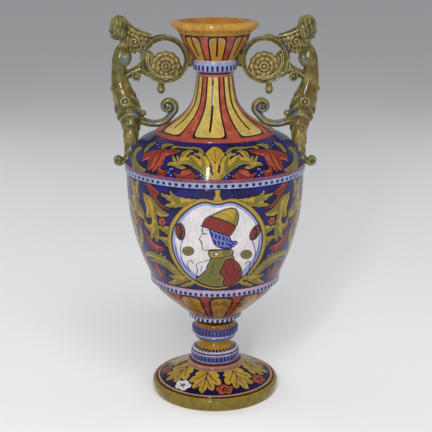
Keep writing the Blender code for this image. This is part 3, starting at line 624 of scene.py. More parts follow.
# %% Strokes round the medallion
BELLY_SIDE = [
    ("green", [(-161.5, 163.3, 5.0), (-152.8, 158.1, 7.0), (-147.0, 149.2, 2.4)]),
    ("leaf", [(-166.5, 147.9, 5.1), (-158.6, 138.7, 9.5), (-148.7, 131.0, 10.2), (-139.0, 125.3, 7.2),
              (-134.7, 118.2, 2.4)]),
    ("leaf", [(-156.0, 134.0, 6.1), (-158.0, 122.0, 7.4), (-153.0, 110.0, 2.4)]),
    ("red", [(-121.5, 178.4, 5.7), (-112.5, 167.5, 5.1), (-106.8, 158.9, 4.3), (-100.1, 151.4, 3.6),
             (-90.9, 146.4, 3.2), (-80.9, 145.2, 2.4), (-71.4, 148.0, 2.4)]),
    ("red", [(-119.1, 173.2, 2.4), (-111.1, 170.6, 4.9), (-102.2, 166.3, 4.5), (-97.0, 168.0, 2.4)]),
    ("leaf", [(-131.1, 160.5, 2.4), (-127.0, 154.2, 5.6), (-121.6, 146.6, 7.4), (-117.7, 138.5, 7.9),
              (-119.7, 130.3, 7.0), (-126.3, 123.4, 2.4)]),
    ("leaf", [(-122.7, 158.8, 2.4), (-114.3, 152.3, 6.0), (-107.3, 143.7, 7.6), (-99.1, 137.4, 7.0),
              (-89.9, 134.5, 5.4), (-79.3, 134.4, 2.4)]),
    ("leaf", [(-109.1, 142.3, 6.1), (-108.5, 130.3, 5.4), (-107.6, 119.3, 6.4), (-106.2, 108.1, 7.4),
              (-104.9, 96.7, 6.1), (-104.2, 83.8, 2.4)]),
    ("leaf", [(-107.7, 113.2, 6.1), (-115.2, 105.7, 6.6), (-123.4, 105.6, 5.4), (-129.1, 110.2, 4.1),
              (-130.3, 117.2, 2.4)]),
    ("leaf", [(-107.6, 103.5, 5.1), (-112.9, 95.0, 5.1), (-119.5, 85.5, 2.4)]),
    ("red", [(-133.6, 98.0, 2.4), (-130.1, 88.1, 4.5), (-122.2, 79.0, 6.5), (-113.6, 72.4, 7.3),
             (-102.7, 70.6, 6.5), (-90.1, 74.2, 2.4)]),
    ("red", [(-113.4, 72.7, 5.3), (-107.5, 66.8, 4.1), (-104.3, 60.1, 2.4)]),
    ("leaf", [(-142.2, 47.9, 2.4), (-130.0, 53.0, 5.4), (-115.7, 55.4, 6.1), (-99.5, 53.9, 6.1),
              (-84.3, 48.2, 5.4), (-70.5, 38.4, 4.5), (-58.6, 26.0, 4.1)]),
    ("green", [(-124.1, 43.0, 2.4), (-112.1, 45.0, 4.1), (-99.2, 44.6, 5.0), (-86.6, 40.6, 5.0),
               (-74.5, 32.0, 4.1), (-62.4, 20.0, 3.8)]),
    ("red", [(-115.3, 38.3, 2.4), (-112.1, 30.4, 6.1), (-108.4, 19.4, 6.9), (-103.1, 9.9, 2.4)]),
    ("leaf", [(-43.7, 24.1, 4.2), (-55.9, 19.2, 6.0), (-66.6, 12.7, 6.6), (-76.0, 6.7, 4.6),
              (-84.0, 4.5, 2.4)]),
    ("leaf", [(-60.0, 17.1, 4.6), (-70.2, 19.7, 4.0), (-81.3, 21.1, 2.4)]),
    ("leaf", [(-40.1, 13.2, 4.2), (-50.2, 8.0, 4.2), (-60.0, 3.0, 2.4)]),
    ("leaf", [(-6.8, 160.0, 2.9), (-22.9, 158.9, 4.6), (-40.4, 157.6, 6.6), (-58.6, 158.2, 7.2),
              (-73.0, 160.8, 5.8), (-83.1, 163.6, 3.5), (-91.5, 165.8, 2.4)]),
    ("leaf", [(-52.0, 156.9, 5.5), (-68.2, 152.1, 4.9), (-84.3, 148.6, 2.4)]),
    ("green", [(-63.7, 159.1, 4.6), (-70.9, 165.8, 3.5), (-74.6, 171.6, 2.4)]),
    ("leaf", [(-74.9, 107.5, 8.2), (-86.8, 109.2, 5.8), (-99.1, 111.3, 2.4)]),
    ("leaf", [(-172.0, 174.0, 4.0), (-163.0, 162.0, 6.5), (-160.0, 148.0, 5.0), (-167.0, 136.0, 3.0)]),
    ("leaf", [(-150.0, 102.0, 3.0), (-145.0, 88.0, 5.5), (-149.0, 72.0, 6.0), (-160.0, 60.0, 3.0)]),
    ("leaf", [(-178.0, 108.0, 3.0), (-169.0, 92.0, 6.5), (-166.0, 74.0, 6.5), (-174.0, 58.0, 3.0)]),
    ("leaf", [(-146.0, 181.0, 3.0), (-152.0, 170.0, 5.2), (-149.0, 160.0, 3.0)]),
    ("leaf", [(-178.0, 132.0, 4.0), (-168.0, 120.0, 7.0), (-160.0, 104.0, 4.0)]),
    ("red", [(-172.0, 54.0, 3.0), (-160.0, 44.0, 5.4), (-150.0, 30.0, 3.0)]),
    ("leaf", [(-166.0, 34.0, 3.0), (-154.0, 22.0, 6.0), (-140.0, 10.0, 3.0)]),
    ("red", [(-163.0, 122.0, 3.0), (-152.0, 112.0, 5.0), (-140.0, 108.0, 3.0)]),
    ("red", [(-152.0, 44.0, 3.0), (-143.0, 32.0, 5.5), (-132.0, 20.0, 3.0)]),
    ("red", [(-92.0, 32.0, 2.0), (-97.0, 22.0, 3.6), (-94.0, 12.0, 2.4)]),
    ("leaf", [(-76.0, 83.9, 9.1), (-87.8, 90.4, 5.4), (-100.0, 92.3, 2.4)]),
]
SIDE_MOTIF = [
    ("leaf", [(-3.0, 34.0, 3.8), (-22.0, 40.0, 7.5), (-40.0, 54.0, 8.1), (-50.0, 74.0, 2.4)]),
    ("red", [(-4.0, 62.0, 5.0), (-18.0, 74.0, 7.5), (-34.0, 96.0, 6.9), (-38.0, 116.0, 2.4)]),
    ("leaf", [(-5.0, 96.0, 5.0), (-16.0, 116.0, 7.5), (-36.0, 132.0, 6.2), (-52.0, 134.0, 2.4)]),
    ("red", [(-8.0, 150.0, 3.8), (-24.0, 156.0, 5.5), (-42.0, 166.0, 2.4)]),
    ("leaf", [(0.0, 14.0, 4.4), (0.0, 46.0, 7.5), (0.0, 84.0, 10.6), (0.0, 120.0, 11.2), (0.0, 148.0, 7.5),
              (0.0, 170.0, 2.4)]),
]
MEDALLION_PLACE = (0.0, 80.0)
MEDALLION_REACH = [
    (0, 76.6), (5, 77.4), (9, 79.8), (13, 82.2), (20, 82.6), (34, 81.0), (50, 79.0), (67, 77.5), (82, 75.3),
    (100, 71.5), (123, 68.6), (146, 69.4), (160, 71.6), (180, 73.5),
]
STRAP_WIDTH = [(0, 5.0), (20, 7.0), (60, 8.5), (100, 8.5), (140, 6.0), (180, 4.5)]
BAND_WIDTH = [(0, 4.0), (30, 4.0), (80, 5.0), (115, 8.0), (145, 10.0), (165, 7.0), (180, 5.0)]


def medallion_edge(grow=0.0, strap=0.0, band=0.0):
    """The medallion's outline: its reach at each angle from its top, the same on both sides. It
    grows by the strap's width and shrinks by the width of the pale blue band inside it."""
    angle = np.arange(0, 360, 5.0)
    away = np.minimum(angle, 360 - angle)
    reach = np.interp(away, *np.array(MEDALLION_REACH).T) + grow
    reach = reach + strap * np.interp(away, *np.array(STRAP_WIDTH).T)
    reach = reach - band * np.interp(away, *np.array(BAND_WIDTH).T)
    turn = np.radians(angle)
    return np.stack([MEDALLION_PLACE[0] + reach * np.sin(turn), MEDALLION_PLACE[1] + reach * np.cos(turn)], 1)


# %% The bust in the medallion
CAP_CROWN = [(-9.7, 137.4), (1.5, 144.2), (11.7, 148.2), (22.1, 150.0), (29.0, 146.5), (32.4, 138.2),
             (31.7, 128.4), (28.6, 120.9), (20.2, 124.8), (8.7, 130.6), (-0.5, 134.0)]
CAP_BAND = [(-9.7, 138.0), (-17.4, 133.8), (-21.6, 127.1), (-22.8, 121.0), (-13.8, 117.6), (-2.5, 112.4),
            (6.8, 108.8), (17.8, 104.6), (23.4, 110.2), (28.3, 120.4), (20.2, 124.5), (8.7, 130.4),
            (-1.6, 134.5)]
HAIR = [(-13.4, 117.6), (-11.6, 108.0), (-8.6, 98.6), (-5.2, 90.0), (2.0, 84.2), (10.2, 81.6),
        (20.0, 81.8), (26.6, 85.6), (31.4, 90.4), (29.6, 95.6), (24.4, 95.4), (21.4, 97.6), (18.6, 104.4),
        (6.8, 109.4), (-2.5, 113.4)]
HAIR_LOCKS = [
    [(-9.4, 114.0), (-4.6, 108.0), (-6.2, 101.6), (-0.6, 96.0), (-1.0, 90.0), (4.6, 86.6)],
    [(-3.8, 112.0), (1.0, 106.0), (-0.6, 100.4), (5.0, 95.4), (5.0, 89.8), (11.4, 85.6)],
    [(2.4, 109.4), (7.0, 103.8), (5.8, 98.2), (11.4, 93.6), (11.6, 88.6), (18.6, 85.2)],
    [(8.6, 107.2), (12.8, 101.8), (12.2, 96.8), (17.6, 92.4), (22.6, 92.0)],
    [(14.0, 104.8), (17.2, 100.2), (18.0, 96.2)],
]
FACE = [(-23.0, 119.4), (-24.0, 113.6), (-22.8, 110.0), (-25.6, 103.4), (-28.4, 98.2), (-24.8, 95.8),
        (-25.8, 93.0), (-23.4, 91.2), (-25.0, 89.0), (-23.2, 86.4), (-23.8, 82.6), (-20.4, 79.4),
        (-14.4, 80.0), (-11.8, 79.0)]
COLLAR = [(-12.7, 79.4), (4.0, 80.4), (20.7, 81.3), (23.6, 70.2), (7.0, 66.6), (-9.5, 65.0)]
DOUBLET = [(-9.5, 64.3), (7.0, 66.0), (23.4, 69.6), (25.0, 58.0), (16.0, 40.0), (22.0, 14.0), (10.0, 9.0),
           (-8.1, 8.8), (-24.1, 15.4), (-33.8, 23.7), (-24.1, 35.5), (-15.6, 42.3), (-14.7, 54.1)]
SLEEVE = [(12.5, 60.5), (23.0, 62.8), (30.2, 57.2), (36.3, 48.4), (39.4, 36.7), (38.6, 23.1), (31.0, 14.5),
          (18.5, 8.2), (9.6, 14.4), (11.4, 28.0), (3.8, 36.0), (6.4, 45.0), (9.9, 52.4)]
LAPEL = [(-32.7, 52.7), (-20.9, 58.4), (-10.5, 63.6), (-15.0, 52.0), (-17.0, 42.0), (-30.7, 27.4),
         (-29.0, 42.0)]
CAP_SHADE = [(29.5, 142.0, 1.5), (29.5, 134.0, 3.0), (26.0, 125.6, 1.8), (14.0, 130.6, 1.0)]
HAIR_CURL = [[(22.0, 88.4), (26.6, 88.0), (28.6, 91.4), (25.8, 92.4)]]
SLEEVE_FOLDS = [
    [(22.0, 56.0), (27.0, 44.0), (24.0, 30.0)],
    [(33.0, 46.0), (34.0, 34.0), (28.0, 20.0)],
    [(14.0, 48.0), (15.0, 38.0), (20.0, 28.0)],
    [(-6.0, 54.0), (-8.0, 38.0), (-16.0, 22.0)],
    [(4.0, 26.0), (-2.0, 18.0)],
]
LAPEL_LINES = [
    [(-10.5, 63.8), (-20.9, 58.8), (-32.7, 53.0), (-31.0, 42.0), (-34.0, 26.0)],
    [(-15.0, 52.0), (-20.0, 40.0), (-31.0, 26.0)],
    [(-24.0, 50.0), (-26.0, 40.0)],
]
STEMS = [
    [(-54.4, 96.3), (-58.6, 84.0), (-58.3, 66.9), (-55.0, 53.6), (-46.4, 37.6)],
    [(-67.0, 84.2), (-66.4, 69.8), (-59.7, 51.6)],
    [(-38.4, 53.4), (-41.4, 58.4), (-46.0, 57.4), (-47.7, 49.4), (-43.0, 36.0)],
    [(55.5, 94.1), (60.9, 77.8), (62.2, 64.0), (58.8, 46.9)],
    [(67.8, 92.6), (67.4, 76.8), (64.6, 62.2)],
    [(45.2, 50.6), (49.4, 56.2), (54.3, 52.2), (52.6, 40.8), (48.9, 27.9)],
]
BUST_INK = [
    (0.5, [(-24.6, 91.2), (-20.6, 90.8)]),
    (0.6, [(-22.6, 113.4), (-18.6, 114.8), (-14.8, 113.6)]),
    (0.6, [(-22.0, 107.8), (-19.0, 109.6), (-15.4, 108.0)]),
    (0.9, [(-26.4, 121.6), (-13.8, 117.6), (-2.5, 112.4), (6.8, 108.7), (18.3, 104.3)]),
    (0.9, [(-13.2, 78.4), (3.8, 79.6), (20.4, 80.6)]),
    (0.9, [(-9.8, 65.0), (7.0, 66.6), (23.2, 70.0)]),
]
BUDS = [(-59.0, 109.0, 1.75, 3), (60.8, 106.0, 1.65, -28)]
BUD_RADIUS = 7.6
ROUND_LEAVES = [(-46.3, 76.0, 20, 1), (46.5, 69.0, -20, -1)]


def paint_bust(canvas):
    """Buds at both sides, then the bust from its doublet up to its cap, then the fine lines."""
    for x, y, tall, tilt in BUDS:
        canvas.lay("red", spot(x, y, BUD_RADIUS, tall, tilt), OCHRE_TONE)
        canvas.lay("blue", ink_line([(x - 1.0, y + 9.0), (x + 2.4, y + 2.0), (x + 0.6, y - 9.0)], 0.6))
        canvas.lay("pale", spot(x - 1.6, y - 6.0, 1.3, 1.6))
    for x, y, tilt, _ in ROUND_LEAVES:
        canvas.lay("leaf", spot(x, y, 9.0, 0.85, tilt), 3.4)
    canvas.lay("leaf", patch(DOUBLET), 4.0)
    canvas.lay("leaf", patch(COLLAR), -1.2)
    canvas.lay("leaf", brush([(12.0, 74.6, 4.6), (19.6, 75.8, 4.2)]), 2.6)
    canvas.lay("pale", spot(-1.0, 72.6, 4.6, 0.6))
    canvas.lay("pale", patch(LAPEL))
    canvas.lay("red", patch(SLEEVE), OCHRE_TONE)
    canvas.lay("blue", patch(HAIR))
    canvas.lay("red", patch(CAP_BAND), OCHRE_TONE)
    canvas.lay("leaf", patch(CAP_CROWN), OCHRE_TONE)
    canvas.lay("leaf", brush(CAP_SHADE), 4.5)
    canvas.lay("ink", ink_line([(4.0, 142.0), (14.0, 139.0), (25.0, 131.0)], 0.5))
    for colour, half, lines in [("ink", 0.6, SLEEVE_FOLDS), ("sky", 0.7, HAIR_LOCKS), ("sky", 0.6, HAIR_CURL),
                                ("blue", 0.75, STEMS), ("ink", 0.75, [FACE]), ("blue", 0.7, LAPEL_LINES)]:
        for line in lines:
            canvas.lay(colour, ink_line(line, half))
    for half, line in BUST_INK:
        canvas.lay("ink", ink_line(line, half))
    canvas.lay("ink", spot(-19.6, 107.6, 1.3))
    for x, y, _, hand in ROUND_LEAVES:
        turn = np.radians(np.arange(0, 540, 45))
        reach = np.linspace(7.4, 1.2, len(turn))
        swirl = np.stack([x + hand * reach * np.cos(turn), y + 0.8 * reach * np.sin(turn)], 1)
        canvas.lay("ink", ink_line(swirl, 0.45))


SPRAY_LEAVES = [
    [(3.0, 40.0, 2.5), (18.0, 56.0, 5.5), (34.0, 62.0, 1.5)],
    [(3.0, 62.0, 2.5), (14.0, 84.0, 5.0), (20.0, 100.0, 1.5)],
]


def paint_spray(canvas):
    """The plainer back: a spray of three buds on curved stems with a few leaves."""
    for x, y, tilt in [(-34.0, 112.0, 20), (0.0, 122.0, 0), (34.0, 112.0, -20)]:
        canvas.lay("ink", ink_line([(x * 0.1, 30.0), (x * 0.7, 66.0), (x, y - 12.0)], 0.8))
        canvas.lay("red", spot(x, y, 8.5, 1.6, tilt), OCHRE_TONE)
    for hand in (-1, 1):
        for leaf in SPRAY_LEAVES:
            canvas.lay("leaf", brush([(hand * x, y, half) for x, y, half in leaf], LOBE))


# %% Paint the belly
MEDALLION_MIDDLE = 1.6
BLOOM_PLACE = (-91.6, 121.0)
BLOOM_DOTS = [(-104.5, 63.0), (-97.0, 61.6), (-89.0, 58.7)]
TOP_STALK = [(0.0, 178.0, 5.0), (0.0, 170.0, 4.2), (0.0, 160.0, 8.5)]
PALE_EDGE = -1.5

belly_canvas = Canvas(belly_wall, belly_angles)
for middle in (90.0, -90.0):
    belly_canvas.middle = middle
    for flip in (1, -1):
        belly_canvas.flip = flip
        belly_canvas.lay_all(SIDE_MOTIF)
for middle, picture in ((MEDALLION_MIDDLE, paint_bust), (180.0 + MEDALLION_MIDDLE, paint_spray)):
    belly_canvas.middle = middle
    for flip in (1, -1):
        belly_canvas.flip = flip
        belly_canvas.lay_all(BELLY_SIDE)
        for turn in np.radians(range(0, 360, 72)):
            x = BLOOM_PLACE[0] + 4.4 * math.cos(turn)
            belly_canvas.lay("red", spot(x, BLOOM_PLACE[1] + 4.4 * math.sin(turn), 3.6), 4.0)
        belly_canvas.lay("pale", spot(*BLOOM_PLACE, 1.4))
        for x, y in BLOOM_DOTS:
            belly_canvas.lay("pale", spot(x, y, 1.6))
    belly_canvas.flip = 1
    belly_canvas.lay("leaf", brush(TOP_STALK), OCHRE_TONE)
    belly_canvas.lay("leaf", patch(medallion_edge(strap=1.0)), 2.6)
    belly_canvas.lay("leaf", patch(medallion_edge(strap=0.62)), OCHRE_TONE)
    belly_canvas.lay("blue", patch(medallion_edge()))
    belly_canvas.lay("sky", patch(medallion_edge(PALE_EDGE)))
    belly_canvas.lay("pale", patch(medallion_edge(PALE_EDGE, band=1.0)))
    picture(belly_canvas)
belly_canvas.store(belly, 1, len(belly_angles))
print("belly canvas", belly_canvas.up.shape, "to", round(belly_canvas.up.max(), 1), "mm up")

# %% [markdown]
# ### The foot
#
# Seven ochre leaves hang down the slope of the foot with their tips outwards, and a flower of five
# petals stands between each two. One leaf and one flower are drawn and laid seven times round, as
# a decorator repeats a motif from a pricked pattern. Two of the flowers are white.

# %% Strokes of the foot
FOOT_LEAVES = 7
FOOT_LEAF_START = -14.5
FOOT_SIDE_LOBES = [
    [(-4.0, 53.0, 4.0), (-11.0, 50.0, 5.0), (-17.5, 44.5, 4.2)],
    [(-3.0, 50.0, 3.5), (-10.0, 42.0, 5.5), (-18.0, 34.0, 6.8), (-24.0, 29.0, 5.0)],
    [(-2.0, 38.0, 4.5), (-9.0, 28.0, 6.6), (-14.0, 20.0, 5.6), (-16.5, 15.0, 3.5)],
]
FOOT_MIDDLE_LOBE = [(0.0, 54.0, 4.0), (0.0, 40.0, 6.0), (0.0, 26.0, 6.8), (0.0, 15.0, 6.4), (0.0, 9.0, 4.0)]
FOOT_VEINS = [
    [(0.0, 53.0), (0.0, 12.0)],
    [(-1.0, 50.0), (-10.0, 40.0), (-20.0, 31.5)],
    [(1.0, 50.0), (10.0, 40.0), (20.0, 31.5)],
    [(-0.5, 40.0), (-7.0, 29.0), (-13.5, 18.5)],
    [(0.5, 40.0), (7.0, 29.0), (13.5, 18.5)],
]
FOOT_LOBE = 8.0
FLOWER_UP = 14.0
PETAL_OUT, PETAL_UP = 9.6, 6.4
PETAL_RADIUS = 6.4
PETAL_STREAK = [(4.0, 0.6), (7.5, 1.1), (11.0, 0.5)]
PETAL_TURNS = [math.radians(turn) for turn in range(18, 378, 72)]
PALE_FLOWERS = (3, 6)

# %% Paint the foot
foot_canvas = Canvas(slope, foot_angles)
for index in range(FOOT_LEAVES):
    foot_canvas.middle = FOOT_LEAF_START + (index + 0.5) * 360 / FOOT_LEAVES
    petal_colour = "pale" if index in PALE_FLOWERS else "red"
    foot_canvas.lay("ink", ink_line([(0.0, 26.0), (0.0, 46.0)], 0.7))
    streak_colour = "sky" if petal_colour == "pale" else "red"
    for turn in PETAL_TURNS:
        middle = PETAL_OUT * math.cos(turn), FLOWER_UP + PETAL_UP * math.sin(turn)
        foot_canvas.lay(petal_colour, spot(*middle, PETAL_RADIUS, 0.85), 4.4)
    for turn in PETAL_TURNS:
        path = [(reach * math.cos(turn), FLOWER_UP + 0.7 * reach * math.sin(turn), half)
                for reach, half in PETAL_STREAK]
        foot_canvas.lay(streak_colour, brush(path), OCHRE_TONE)
    foot_canvas.lay("leaf", spot(0.0, FLOWER_UP, 2.6), OCHRE_TONE)
for index in range(FOOT_LEAVES):
    foot_canvas.middle = FOOT_LEAF_START + index * 360 / FOOT_LEAVES
    for flip in (1, -1):
        foot_canvas.flip = flip
        for points in FOOT_SIDE_LOBES:
            foot_canvas.lay("leaf", brush(points, FOOT_LOBE), OCHRE_TONE)
    foot_canvas.flip = 1
    foot_canvas.lay("leaf", brush(FOOT_MIDDLE_LOBE, FOOT_LOBE), OCHRE_TONE)
    for points in FOOT_VEINS:
        foot_canvas.lay("ink", ink_line(points, 0.8))
foot_canvas.store(foot, SLOPE_FIRST - 1, len(foot_angles))
print("foot canvas", foot_canvas.up.shape, "to", round(foot_canvas.up.max(), 1), "mm up")


# %% [markdown]
# ## Handles
#
# A handle was pressed in a mould: an armless figure rises from a leafy pillar, and scrolls tie it
# to the neck and mouth. Each form here is a section carried along a path, with its carving as a
# small change of the section's reach. All forms of a handle are then fused by a voxel remesh, as
# soft clay is when the joins are wiped with slip.

# %% Handle places
HANDLE_REACH = 0.1455
HANDLE_LOW = 0.4015
HANDLE_RISE = 0.1650
FIGURE_HALF = 0.0150
SCROLL_HALF = 0.0080
RING_PLACE = (0.5478, 0.9939)
RING_RADIUS = 0.0385
RING_BAND = 0.0092
RING_DEPTH = 0.0180
ROSETTE_PLACE = (0.5409, 0.9285)
ROSETTE_RADIUS = 0.0248
ROSETTE_DEPTH = 0.0220
HEAD_PLACES = {-1: (1.0550, 1.2970), 1: (1.0137, 1.3030)}
HEAD_HALF = np.array([0.0150, 0.0145, 0.02025])
FIGURE_BODY = [
    (1.0034, 1.1909, 0.453, 0.500), (1.0048, 1.1364, 0.500, 0.520), (1.0241, 1.0758, 0.767, 0.950),
    (1.0412, 1.0030, 0.867, 1.120), (1.0584, 0.9061, 0.813, 0.940), (1.0584, 0.8091, 0.880, 0.860),
    (1.0344, 0.7121, 1.067, 0.980), (1.0034, 0.6152, 1.233, 1.080), (0.9725, 0.5121, 1.320, 1.040),
    (0.9540, 0.4394, 1.267, 0.980), (0.9402, 0.3545, 0.987, 0.900), (0.9423, 0.2515, 0.813, 0.820),
    (0.9519, 0.1182, 0.653, 0.780), (0.9794, 0.0394, 0.453, 0.740), (1.0069, -0.0091, 0.367, 0.680),
]
SHOULDER_WEB = [
    (1.0034, 1.1788, 2.188, 0.850), (0.9210, 1.1636, 2.312, 0.850), (0.8385, 1.1515, 1.875, 0.850),
    (0.7423, 1.1606, 1.000, 0.850),
]
NAPE_LOCK = [
    (0.9897, 1.3485, 0.800, 1.000), (0.9347, 1.2990, 0.760, 1.000), (0.8729, 1.2645, 0.700, 1.000),
    (0.7766, 1.2342, 0.600, 0.900), (0.6942, 1.2191, 0.450, 0.700),
]
RING_BRACKET = [
    (0.9828, 0.8394, 0.900, 1.000), (0.9072, 0.8727, 0.820, 0.900), (0.8247, 0.9000, 0.860, 0.850),
    (0.7423, 0.8667, 0.860, 0.900), (0.6598, 0.8091, 0.700, 1.000),
]
WING_LOCK = [
    (0.9897, 1.2900, 0.850, 1.050), (0.9210, 1.2420, 0.950, 1.050), (0.8385, 1.2120, 0.900, 1.000),
    (0.7500, 1.1880, 0.800, 0.950), (0.6800, 1.1800, 0.550, 0.850),
]
RING_LEAVES = [(0.0372, (92, -6), 0.0046, 0.0072), (0.0272, (22, -112), 0.0052, 0.0090)]
BRACKET_LEAF = [
    (0.8454, 0.8879, 0.938, 0.812), (0.8247, 0.9364, 0.562, 0.625), (0.8076, 0.9727, 0.150, 0.250),
]
RING_BUD = [
    (0.5890, 0.7788, 0.875, 0.812), (0.5993, 0.7424, 0.600, 0.600), (0.5993, 0.7030, 0.900, 0.900),
    (0.5993, 0.6594, 0.375, 0.375),
]
LOWER_SCROLL_STEM = [
    (0.8935, 0.4242, 1.000, 1.050), (0.8041, 0.3879, 0.825, 1.040), (0.7079, 0.3667, 0.750, 1.020),
    (0.6117, 0.3715, 0.750, 1.010), (0.5326, 0.4030, 0.750, 1.000),
]


def at(place):
    """Distance from the axis and height of a place that is given in shares of the handle."""
    return np.array([HANDLE_REACH * place[0], HANDLE_LOW + HANDLE_RISE * place[1]])


def table_path(rows, half):
    """Distance, height, half width and half depth along a form."""
    return np.array([[*at(row), half * row[2], half * row[3]] for row in rows])


def spiral_path(centre, radii, angles, widths, depths, steps=28):
    """The same four numbers along a spiral that winds in."""
    radius = np.linspace(*radii, steps + 1)
    angle = np.radians(np.linspace(*angles, steps + 1))
    out = centre[0] + radius * np.cos(angle)
    up = centre[1] + radius * np.sin(angle)
    return np.column_stack([out, up, np.linspace(*widths, steps + 1), np.linspace(*depths, steps + 1)])


# %% Handle surfaces
OVAL_ROWS = 18
OVAL_SIDES = 28


def rolled(path, side, steps, sides, square=1.0, carve=None):
    """A form rolled along a path: an oval of the path's half width and half depth at each place.

    The power square on its cosine and sine makes the oval squarer below 1. carve(share, turn)
    gives how much the oval grows, as a share, from the share of the length and the angle round
    the form. Each end closes in a fan.
    """
    curve = smooth_curve(path, steps) if steps > 1 else path
    along = np.gradient(curve[:, :2], axis=0)
    along /= np.linalg.norm(along, axis=1)[:, None] + 1e-12
    across = np.stack([along[:, 1], -along[:, 0]], 1)
    turn = (np.arange(sides) + 0.5) * 2 * math.pi / sides
    share = np.linspace(0, 1, len(curve))
    grow = np.ones((len(curve), sides)) if carve is None else 1 + carve(share[:, None], turn[None])
    cosine = np.sign(np.cos(turn)) * np.abs(np.cos(turn)) ** square * grow
    sine = np.sign(np.sin(turn)) * np.abs(np.sin(turn)) ** square * grow
    flat = curve[:, None, :2] + across[:, None] * (curve[:, 2:3] * cosine)[..., None]
    rings = np.stack([side * flat[..., 0], curve[:, 3:4] * sine, flat[..., 1]], -1)
    return fan_closed(rings)


def oval(place, halves, side, deep=0.0, carve=None):
    """A closed oval with half sizes out, deep and up: cosine of lean by cosine or sine of turn, and
    sine of lean upwards; carve(lean, turn) is its growth as a share."""
    lean = np.radians(np.linspace(86, -86, OVAL_ROWS))[:, None]
    turn = (np.arange(OVAL_SIDES) * 2 * math.pi / OVAL_SIDES)[None]
    grow = 1.0 if carve is None else 1 + carve(lean, turn)
    out = place[0] + halves[0] * np.cos(lean) * np.cos(turn) * grow
    across = deep + halves[1] * np.cos(lean) * np.sin(turn) * grow
    up = place[1] + halves[2] * np.sin(lean) * grow * np.ones_like(turn)
    return fan_closed(np.stack([side * out, across, up], -1))


def fused(name, forms, voxel):
    """All forms as one skin: a voxel remesh keeps the outside of their union."""
    points, quads, fans, start = [], [], [], 0
    for vertices, quad, fan in forms:
        points.append(vertices)
        quads.append(quad + start)
        if len(fan):
            fans.append(fan + start)
        start += len(vertices)
    piece = new_piece(name, np.vstack(points), [np.vstack(quads), np.vstack(fans)])
    remesh = piece.modifiers.new("fusing", "REMESH")
    remesh.mode = "VOXEL"
    remesh.voxel_size = voxel
    graph = bpy.context.evaluated_depsgraph_get()
    mesh = bpy.data.meshes.new_from_object(piece.evaluated_get(graph))
    old = piece.data
    piece.modifiers.clear()
    piece.data = mesh
    bpy.data.meshes.remove(old)
    mesh.polygons.foreach_set("use_smooth", np.ones(len(mesh.polygons), bool))
    say_size(piece)
    return piece


# %% [markdown]
# ### Ring and rosette
#
# A reeded ring stands beside the mouth with a flower in it, and a reader could take a torus and
# add petals by hand. Here the ring is one section with its two rims and two grooves, carried
# round a circle, and the flower is a height over a disc, so that every groove and petal is a
# value that can be changed.

# %% Ring and rosette
RING_TURNS = 144
ROSETTE_TURNS = 132


def swell(place, middle, width):
    """A smooth rise: e to the power of minus the square of the distance from its middle in widths."""
    return np.exp(-((place - middle) / width) ** 2)


def ring_form(side):
    """The reeded ring: a section with two rims and two grooves, carried round a circle."""
    centre = at(RING_PLACE)
    place = np.linspace(-1, 1, 15)
    rise = 0.74 + 0.26 * swell(place, -0.78, 0.22) + 0.20 * swell(place, 0.72, 0.25)
    rise -= 0.24 * swell(place, -0.30, 0.16) + 0.12 * swell(place, 0.28, 0.12)
    rise[[0, -1]] *= 0.62
    section = np.vstack([np.stack([place, rise], 1), np.stack([place[::-1], -rise[::-1]], 1)])
    turn = np.arange(RING_TURNS) * 2 * math.pi / RING_TURNS
    band_half = RING_BAND / 2
    reach = RING_RADIUS - band_half + section[:, 0] * band_half
    out = centre[0] + np.cos(turn)[:, None] * reach
    up = centre[1] + np.sin(turn)[:, None] * reach
    deep = np.broadcast_to(section[:, 1] * RING_DEPTH / 2, out.shape)
    rings = np.stack([side * out, deep, up], -1)
    return rings.reshape(-1, 3), grid_faces(*out.shape, rows_close=True), np.zeros((0, 3), int)


def rosette_form(side):
    """The flower: height over its disc is a button in a ring, nine inner petals and twelve outer
    ones, each the cosine of its angle rounded off."""
    centre = at(ROSETTE_PLACE)
    share = np.linspace(0.02, 1, 34)[:, None]
    turn = (np.arange(ROSETTE_TURNS) * 2 * math.pi / ROSETTE_TURNS)[None]
    outer = np.abs(np.cos(6 * turn))
    inner = np.abs(np.cos(4.5 * (turn + 0.5 * share)))
    rise = 0.40 + 0.42 * swell(share, 0.0, 0.09) + 0.36 * swell(share, 0.25, 0.055)
    rise = rise + 0.40 * swell(share, 0.51, 0.10) * inner**0.7
    rise = rise + 0.38 * swell(share, 0.82, 0.11) * outer**0.6
    rise = rise * np.clip((1.04 - share) / 0.10, 0.25, 1)
    reach = ROSETTE_RADIUS * share * (1 - 0.10 * share**4 * (1 - outer**0.5))
    out = centre[0] + reach * np.cos(turn)
    up = centre[1] + reach * np.sin(turn)
    front = np.stack([side * out, -ROSETTE_DEPTH / 2 * rise, up], -1)
    return fan_closed(np.concatenate([front, (front * (1, -1, 1))[::-1]]))


# %% [markdown]
# ### The figure
#
# An armless figure leans out of a pillar of leaves, and a hand would take it by the waist. It
# could be sculpted, but a path with a half width and a half depth at each place gives the same
# soft, pressed form with few numbers. The head is a handful of ovals that the remesh runs
# together, with its carving as waves.

# %% Figure
def leaf_carving(share, turn):
    """Leaf lobes down the pillar: ridges that slant away from a middle rib, and smooth skin above."""
    on = np.clip((share - 0.44) / 0.08, 0, 1) * np.clip((1.0 - share) / 0.05, 0, 1)
    slant = np.abs(np.sin(turn))
    ribs = np.cos(2 * math.pi * (share * 12 + 1.6 * slant))
    return on * (0.11 * ribs + 0.08 * swell(slant, 1, 0.06))


def hair_carving(lean, turn):
    """Long locks: waves down the head that bend as they fall."""
    return 0.065 * np.cos(11 * turn + 2.2 * np.sin(2.4 * lean)) * np.cos(lean) ** 0.5


